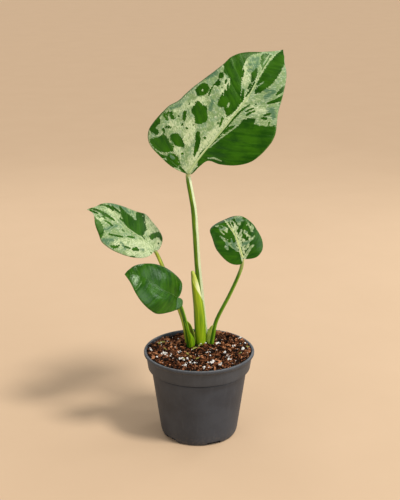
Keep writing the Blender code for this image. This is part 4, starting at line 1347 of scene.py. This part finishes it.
def addCrumb(bm, rnd, toneLayer, spot, size, kind, tone):
    # one piece of bark: a broken flake, a crumb or a splinter, or a clod of mix
    turn = Matrix.Rotation(rnd.uniform(0, math.tau), 4, "Z") @ Matrix.Rotation(rnd.gauss(0, 0.45), 4, "X")
    turn = turn @ Matrix.Rotation(rnd.gauss(0, 0.35), 4, "Y")
    if kind in ("crumb", "clod"):
        made = bmesh.ops.create_icosphere(bm, subdivisions=1 if kind == "crumb" else 2, radius=0.5)
        scale = (size * 0.75, size * 0.6, size * 0.5)
    else:
        made = bmesh.ops.create_cube(bm, size=1)
        thin = (0.28, 0.2) if kind == "splinter" else (0.62, 0.3)
        scale = (size * rnd.uniform(0.9, 1.2), size * thin[0], size * thin[1])
    place = Matrix.Translation(spot) @ turn @ Matrix.Diagonal((*scale, 1))
    for vert in made["verts"]:
        taper = 1 - 0.35 * (vert.co.x + 0.5) * (kind == "splinter")
        jitter = Vector([rnd.uniform(-0.17, 0.17) for _ in range(3)])
        vert.co = (place @ (Vector((vert.co.x, vert.co.y * taper, vert.co.z)) + jitter)) * mm
        vert[toneLayer] = tone


def makeChips(material):
    # each batch is made on its own and then added, which is much faster
    rnd = random.Random(chipSet["seed"])
    feet = stalkFeet()
    whole = bmesh.new()
    whole.verts.layers.float.new("tone")
    for batches, count, (low, high), lifts in chipSet["layers"]:
        for _ in range(batches):
            batch = bmesh.new()
            toneLayer = batch.verts.layers.float.new("tone")
            for _ in range(count):
                size = low + (high - low) * rnd.random() ** 2.0
                x, y = scatterSpot(rnd, chipSet["limit"], feet, size)
                kind = rnd.choices(("flake", "crumb", "splinter"), (5, 4, 3))[0]
                spot = Vector((x, y, mixTop(x, y) + rnd.uniform(*lifts)))
                tone = rnd.betavariate(0.8, 1.7) if rnd.random() < 0.93 else rnd.uniform(0.7, 1)
                addCrumb(batch, rnd, toneLayer, spot, size, kind, tone)
            mesh = meshFrom(batch, "chipBatch")
            whole.from_mesh(mesh)
            bpy.data.meshes.remove(mesh)
    toneLayer = whole.verts.layers.float["tone"]
    for kind, tone, lift in (("clod", 0.14, 0.5), ("flake", 2.0, 1.9)):
        for x, y, size in chipSet["clods" if kind == "clod" else "green"]:
            addCrumb(whole, rnd, toneLayer, Vector((x, y, mixTop(x, y) + lift)), size, kind, tone)
    bmesh.ops.recalc_face_normals(whole, faces=whole.faces)
    chips = [f"bark_chip_{k}" for k in range(1, 9)]
    keepPiece("bark_chips", meshFrom(whole, "bark_chips"), chips, material)


def makePerlite(material):
    rnd = random.Random(perliteSet["seed"])
    feet = stalkFeet()
    spots = []
    for x, y, count, width in perliteSet["clusters"]:
        for k in range(count):
            reach = 0 if k == 0 else rnd.uniform(0.8, 3.4)
            angle = rnd.uniform(0, math.tau)
            size = width * (1.1 if k == 0 else rnd.uniform(0.4, 0.8))
            spots.append((x + reach * math.cos(angle), y + reach * math.sin(angle), size))
    for _ in range(perliteSet["loose"]):
        size = rnd.uniform(*perliteSet["looseSize"])
        spots.append((*scatterSpot(rnd, perliteSet["looseLimit"], feet, size), size))
    bm = bmesh.new()
    for number, (x, y, size) in enumerate(spots):
        if math.hypot(x, y) > perliteSet["limit"] - size / 2:
            continue
        made = bmesh.ops.create_icosphere(bm, subdivisions=2, radius=0.5)
        squash = Vector((rnd.uniform(0.7, 1.35), rnd.uniform(0.7, 1.1), rnd.uniform(0.6, 1.1)))
        turn = Matrix.Rotation(rnd.uniform(0, math.tau), 3, "Z")
        middle = Vector((x, y, mixTop(x, y) + 1.5 + 0.28 * size))
        for vert in made["verts"]:
            dent = 1 + 0.75 * noise.noise(vert.co * 4.0 + Vector((number * 3.1, 0, 0)))
            vert.co = (turn @ (vert.co * squash * size * dent) + middle) * mm
    bmesh.ops.recalc_face_normals(bm, faces=bm.faces)
    grains = [f"perlite_grain_{k}" for k in range(1, 9)]
    keepPiece("perlite_grains", meshFrom(bm, "perlite_grains"), grains, material, smooth=35)


def makeScale(material):
    # the narrow dead scale leaf that lies in front of the stalks
    rings, lift = scaleLeaf["rings"], scaleLeaf["lift"]
    points = [(x, y, mixTop(x, y) + lift + 0.4 * math.sin(x), w) for x, y, w in scaleLeaf["spine"]]
    route = spaced(through(points), rings)
    bm = bmesh.new()
    around = bm.verts.layers.float_vector.new("aroundPlace")

    def place(share, angle, vert):
        k = round(share * rings)
        point, tangent = route[k], heading(route, k)
        side = tangent.cross(Vector((0, 0, 1))).normalized()
        up = side.cross(tangent)
        wide, thick = math.sin(angle) * point.w, math.cos(angle) * 0.28 * point.w
        vert[around] = (math.sin(angle), math.cos(angle), share * 14)
        return point.to_3d() + side * wide + up * (thick + 0.22 * wide**2)

    bentTube(bm, rings, scaleLeaf["around"], place)
    keepPiece("dry_scale", meshFrom(bm, "dry_scale"), ["dry_scale_leaf"], material)


def barkMaterial(name, dust):
    material, n = newMaterial(name, 0.78, 0.1)
    tone, place, c = n.attribute("tone"), n.place(), chipSet
    fibre = n.strands(place, (900, 2600, 1400), 3, 0.65)
    level = n.plus(tone, n.scaled(n.noise(place, 700, 3, 0.6), 0.5, 0.7))
    bark = n.mix(n.step(level, 0.13, 0.40), c["black"], c["brown"])
    bark = n.mix(n.step(level, 0.46, 0.84), bark, c["tan"])
    bark = n.tint(bark, n.step(fibre, 0.5, 0.75), dust, c["dust"])
    n.surface(n.mix(n.step(tone, 1.3, 1.6), bark, c["fresh"]), fibre, 0.0004, 0.8)
    return material


def perliteMaterial():
    material, n = newMaterial("perliteWhite", 0.85)
    place = n.place()
    pores = n.make("TexVoronoi", {"Vector": place, "Scale": 1700})
    white = n.mix(n.step(n.noise(place, 500, 3, 0.6), 0.35, 0.65), *perliteSet["shades"])
    n.surface(n.tint(white, n.step(pores, 0.45, 0.0), 0.25, perliteSet["pore"]), pores, 0.0003, 0.7)
    return material


def scaleMaterial():
    material, n = newMaterial("dryScale", 0.6)
    lines = n.strands(n.attribute("aroundPlace", "Vector"), (3.0, 3.0, 0.1), 3, 0.6)
    n.surface(n.mix(n.step(lines, 0.35, 0.6), *scaleLeaf["shades"]), lines, 0.0003, 0.7)
    return material


# nursery pot

pot = dict(
    # (radius, height, corner radius) of the outside, from the lip down and in to the middle
    outside=[(57.0, 95.2, 0.3), (57.7, 96.0, 0.5), (59.1, 96.0, 0.6), (60.0, 95.1, 0.5),
             (60.0, 93.0, 0.6), (57.6, 91.2, 1.2), (57.2, 88.0, 0.5), (55.6, 76.8, 0.5),
             (52.4, 76.0, 0.3), (51.5, 75.5, 0.2), (51.2, 74.6, 0.2), (51.75, 73.8, 0.3),
             (42.4, 6.0, 2.0), (41.3, 2.0, 1.2), (39.6, 0.0, 0.8), (36.0, 0.0, 0.4), (35.4, 3.0, 0.4),
             (21.1, 3.0, 0.4), (20.5, 0.0, 0.4), (0.0, 0.0, 0.0)],
    inside=[(0.0, 1.4, 0.0), (18.0, 1.4, 0.5), (20.5, 4.4, 0.5), (39.4, 4.4, 0.8), (41.1, 6.0, 0.5),
            (51.1, 74.8, 0.8), (54.3, 77.8, 0.8), (55.9, 88.0, 0.4), (56.3, 91.2, 0.6)],
    steps=160,
    notches=5,
    firstNotch=23.0,  # degrees from the front towards +X
    notchSize=(16.0, 10.0, 7.8),
    notchRadius=42.6,
    notchCorner=1.0,
    drainRadius=4.0,
    drainDepth=12.0,
    drainAt=28.0,
    plastic=((0.0325, 0.0375, 0.048), (0.0495, 0.0570, 0.0715)),
    drawn=(0.066, 0.0740, 0.090),  # faint upright streaks
    # pale tone for painted light on the collar, and for wear and a painted highlight on the lip
    paleWearAndLight=(0.17, 0.18, 0.19),
    # seam: painted shade in the crease under the collar
    seam=(0.006, 0.007, 0.009),
    # recess: painted shade in the notches of the foot
    recess=(0.002, 0.002, 0.002),
    dust=(0.16, 0.13, 0.10),
    # heights, and radii of the notches' floor, in metres, between which each painted shade, painted light,
    # wear and dust comes and goes
    creaseShadeAt=(0.0741, 0.0746, 0.0754, 0.0760),
    recessTop=(0.0046, 0.0040),
    recessRadii=(0.0362, 0.0370, 0.0390, 0.0398),
    collarPaintedLight=(0.0762, 0.0800),
    lipWearAndHighlight=(0.0953, 0.0959),
    dustTop=(0.02, 0.0),
)


def rounded(points):
    # a profile whose corners are rounded off
    made = []
    for k, (r, z, corner) in enumerate(points):
        here = Vector((r, z))
        if not corner or k in (0, len(points) - 1):
            made.append(here)
            continue
        before = Vector(points[k - 1][:2]) - here
        after = Vector(points[k + 1][:2]) - here
        a = here + before.normalized() * min(corner, before.length * 0.45)
        b = here + after.normalized() * min(corner, after.length * 0.45)
        for step in range(5):
            u = step / 4
            made.append(a * (1 - u) ** 2 + here * 2 * u * (1 - u) + b * u * u)
    return made


def notchCutter():
    bm = bmesh.new()
    bmesh.ops.create_cube(bm, size=1)
    bmesh.ops.scale(bm, vec=Vector(pot["notchSize"]) * mm, verts=bm.verts)
    upright = [e for e in bm.edges if abs((e.verts[0].co - e.verts[1].co).normalized().y) > 0.9]
    corner = dict(offset=pot["notchCorner"] * mm, segments=4, profile=0.5, affect="EDGES", material=-1)
    bmesh.ops.bevel(bm, geom=upright, **corner)
    return bm, (0, -pot["notchRadius"], 0)


def drainCutter():
    bm = bmesh.new()
    r, depth = pot["drainRadius"] * mm, pot["drainDepth"] * mm
    bmesh.ops.create_cone(bm, cap_ends=True, segments=40, radius1=r, radius2=r, depth=depth)
    return bm, (0, -pot["drainAt"], 4)


def makePot(material):
    profile = rounded(pot["inside"] + pot["outside"])
    body = addObject("potBody", meshFrom(turned(profile, pot["steps"]), "potBody"))
    cutters = []
    for k in range(pot["notches"]):
        turn = Matrix.Rotation(math.radians(pot["firstNotch"] + 360 * k / pot["notches"]), 4, "Z")
        for bm, place in (notchCutter(), drainCutter()):
            move = turn @ Matrix.Translation(Vector(place) * mm)
            bmesh.ops.transform(bm, matrix=move, verts=bm.verts)
            cutters.append(addObject("potCutter", meshFrom(bm, "potCutter")))
            cut = body.modifiers.new("Cut", "BOOLEAN")
            cut.operation = "DIFFERENCE"
            cut.object = cutters[-1]
    bpy.context.view_layer.update()
    mesh = bpy.data.meshes.new_from_object(body.evaluated_get(bpy.context.evaluated_depsgraph_get()))
    for thing in (body, *cutters):
        bpy.data.objects.remove(thing)
    keepPiece("nursery_pot_shell", mesh, ["nursery_pot"], material, smooth=32)


def potMaterial():
    # satin moulded plastic, with painted light making the collar paler, and a paler lip that is partly rubbed
    # wear and partly painted highlight
    material, n = newMaterial("potPlastic", 0.5, 0.32)
    place = n.place()
    x, y, z = n.split(place)
    cloud = n.noise(place, 28, 4, 0.6)
    drawn = n.strands(place, (260, 260, 8), 3, 0.6)
    scuff = n.noise(place, 330, 4, 0.7)
    tone = n.mix(n.step(cloud, 0.3, 0.7), *pot["plastic"])
    tone = n.tint(tone, n.step(drawn, 0.52, 0.75), 0.35, pot["drawn"])

    # painted shade: a dark line in the crease under the collar, and near black in the notches of the foot
    tone = n.tint(tone, n.band(z, *pot["creaseShadeAt"]), 0.7, pot["seam"])
    across = n.plus(n.times(x, x), n.times(y, y))
    ring = n.band(across, *[radius**2 for radius in pot["recessRadii"]])
    tone = n.tint(tone, n.times(ring, n.step(z, *pot["recessTop"])), 0.95, pot["recess"])

    # painted light on the collar, wear and a painted highlight on the lip, and dust round the foot
    tone = n.tint(tone, n.step(z, *pot["collarPaintedLight"]), 0.10, pot["paleWearAndLight"])
    wornAndHighlight = n.times(n.step(z, *pot["lipWearAndHighlight"]), n.step(scuff, 0.30, 0.62))
    tone = n.tint(tone, wornAndHighlight, 0.75, pot["paleWearAndLight"])
    dusty = n.times(n.step(z, *pot["dustTop"]), n.step(scuff, 0.45, 0.7))
    tone = n.tint(tone, dusty, 0.35, pot["dust"])
    relief = n.weigh((n.noise(place, 2400, 2, 0.5), 1.0), (drawn, 0.8))
    n.surface(tone, relief, 0.00012, 0.5)
    n.put(n.shader["Roughness"], n.plus(n.weigh((cloud, 0.16), (wornAndHighlight, -0.1)), 0.44))
    return material


# floor

floorSet = dict(radius=40, shades=((0.635, 0.448, 0.285), (0.675, 0.482, 0.312)))


def makeFloor():
    bm = bmesh.new()
    bmesh.ops.create_circle(bm, cap_ends=True, segments=128, radius=floorSet["radius"])
    floor = addObject("paleFloor", meshFrom(bm, "paleFloor"))
    material, n = newMaterial("paleFloor", 0.9)
    colour = n.mix(n.noise(n.place(), 9, 3, 0.6), *floorSet["shades"])
    n.put(n.shader["Base Color"], colour)
    floor.data.materials.append(material)


makeCamera()
makeLights()
makeFloor()
bpy.context.scene.view_settings.view_transform = "Standard"
print("camera, light and floor ready")

leafPattern = makeLeafPattern()
stalkSkin = makeStalkSkin()
leaves = (
    (mainLeaf, mainStalk, "variegated_blade"),
    (leftLeaf, leftStalk, "variegated_blade"),
    (frontLeaf, frontStalk, "green_blade"),
    (rightLeaf, rightStalk, "variegated_blade"),
)
for leaf, stalk, slot in leaves:
    shapeLeaf(leaf)
    makeLeaf(leaf, leafMaterial(leaf, leafPattern))
    makeStalk(stalk, leaf, stalkMaterial(stalk, stalkSkin))

makeSpear(spearMaterial())
sheathSkin = sheathMaterial()
makeSheath(frontSheath, frontStalk, sheathSkin)
makeSheath(rightSheath, rightStalk, sheathSkin)
makeMixBed(barkMaterial("mixSoil", 0.1))
makeChips(barkMaterial("barkPieces", 0.35))
makePerlite(perliteMaterial())
makeScale(scaleMaterial())
makePot(potMaterial())
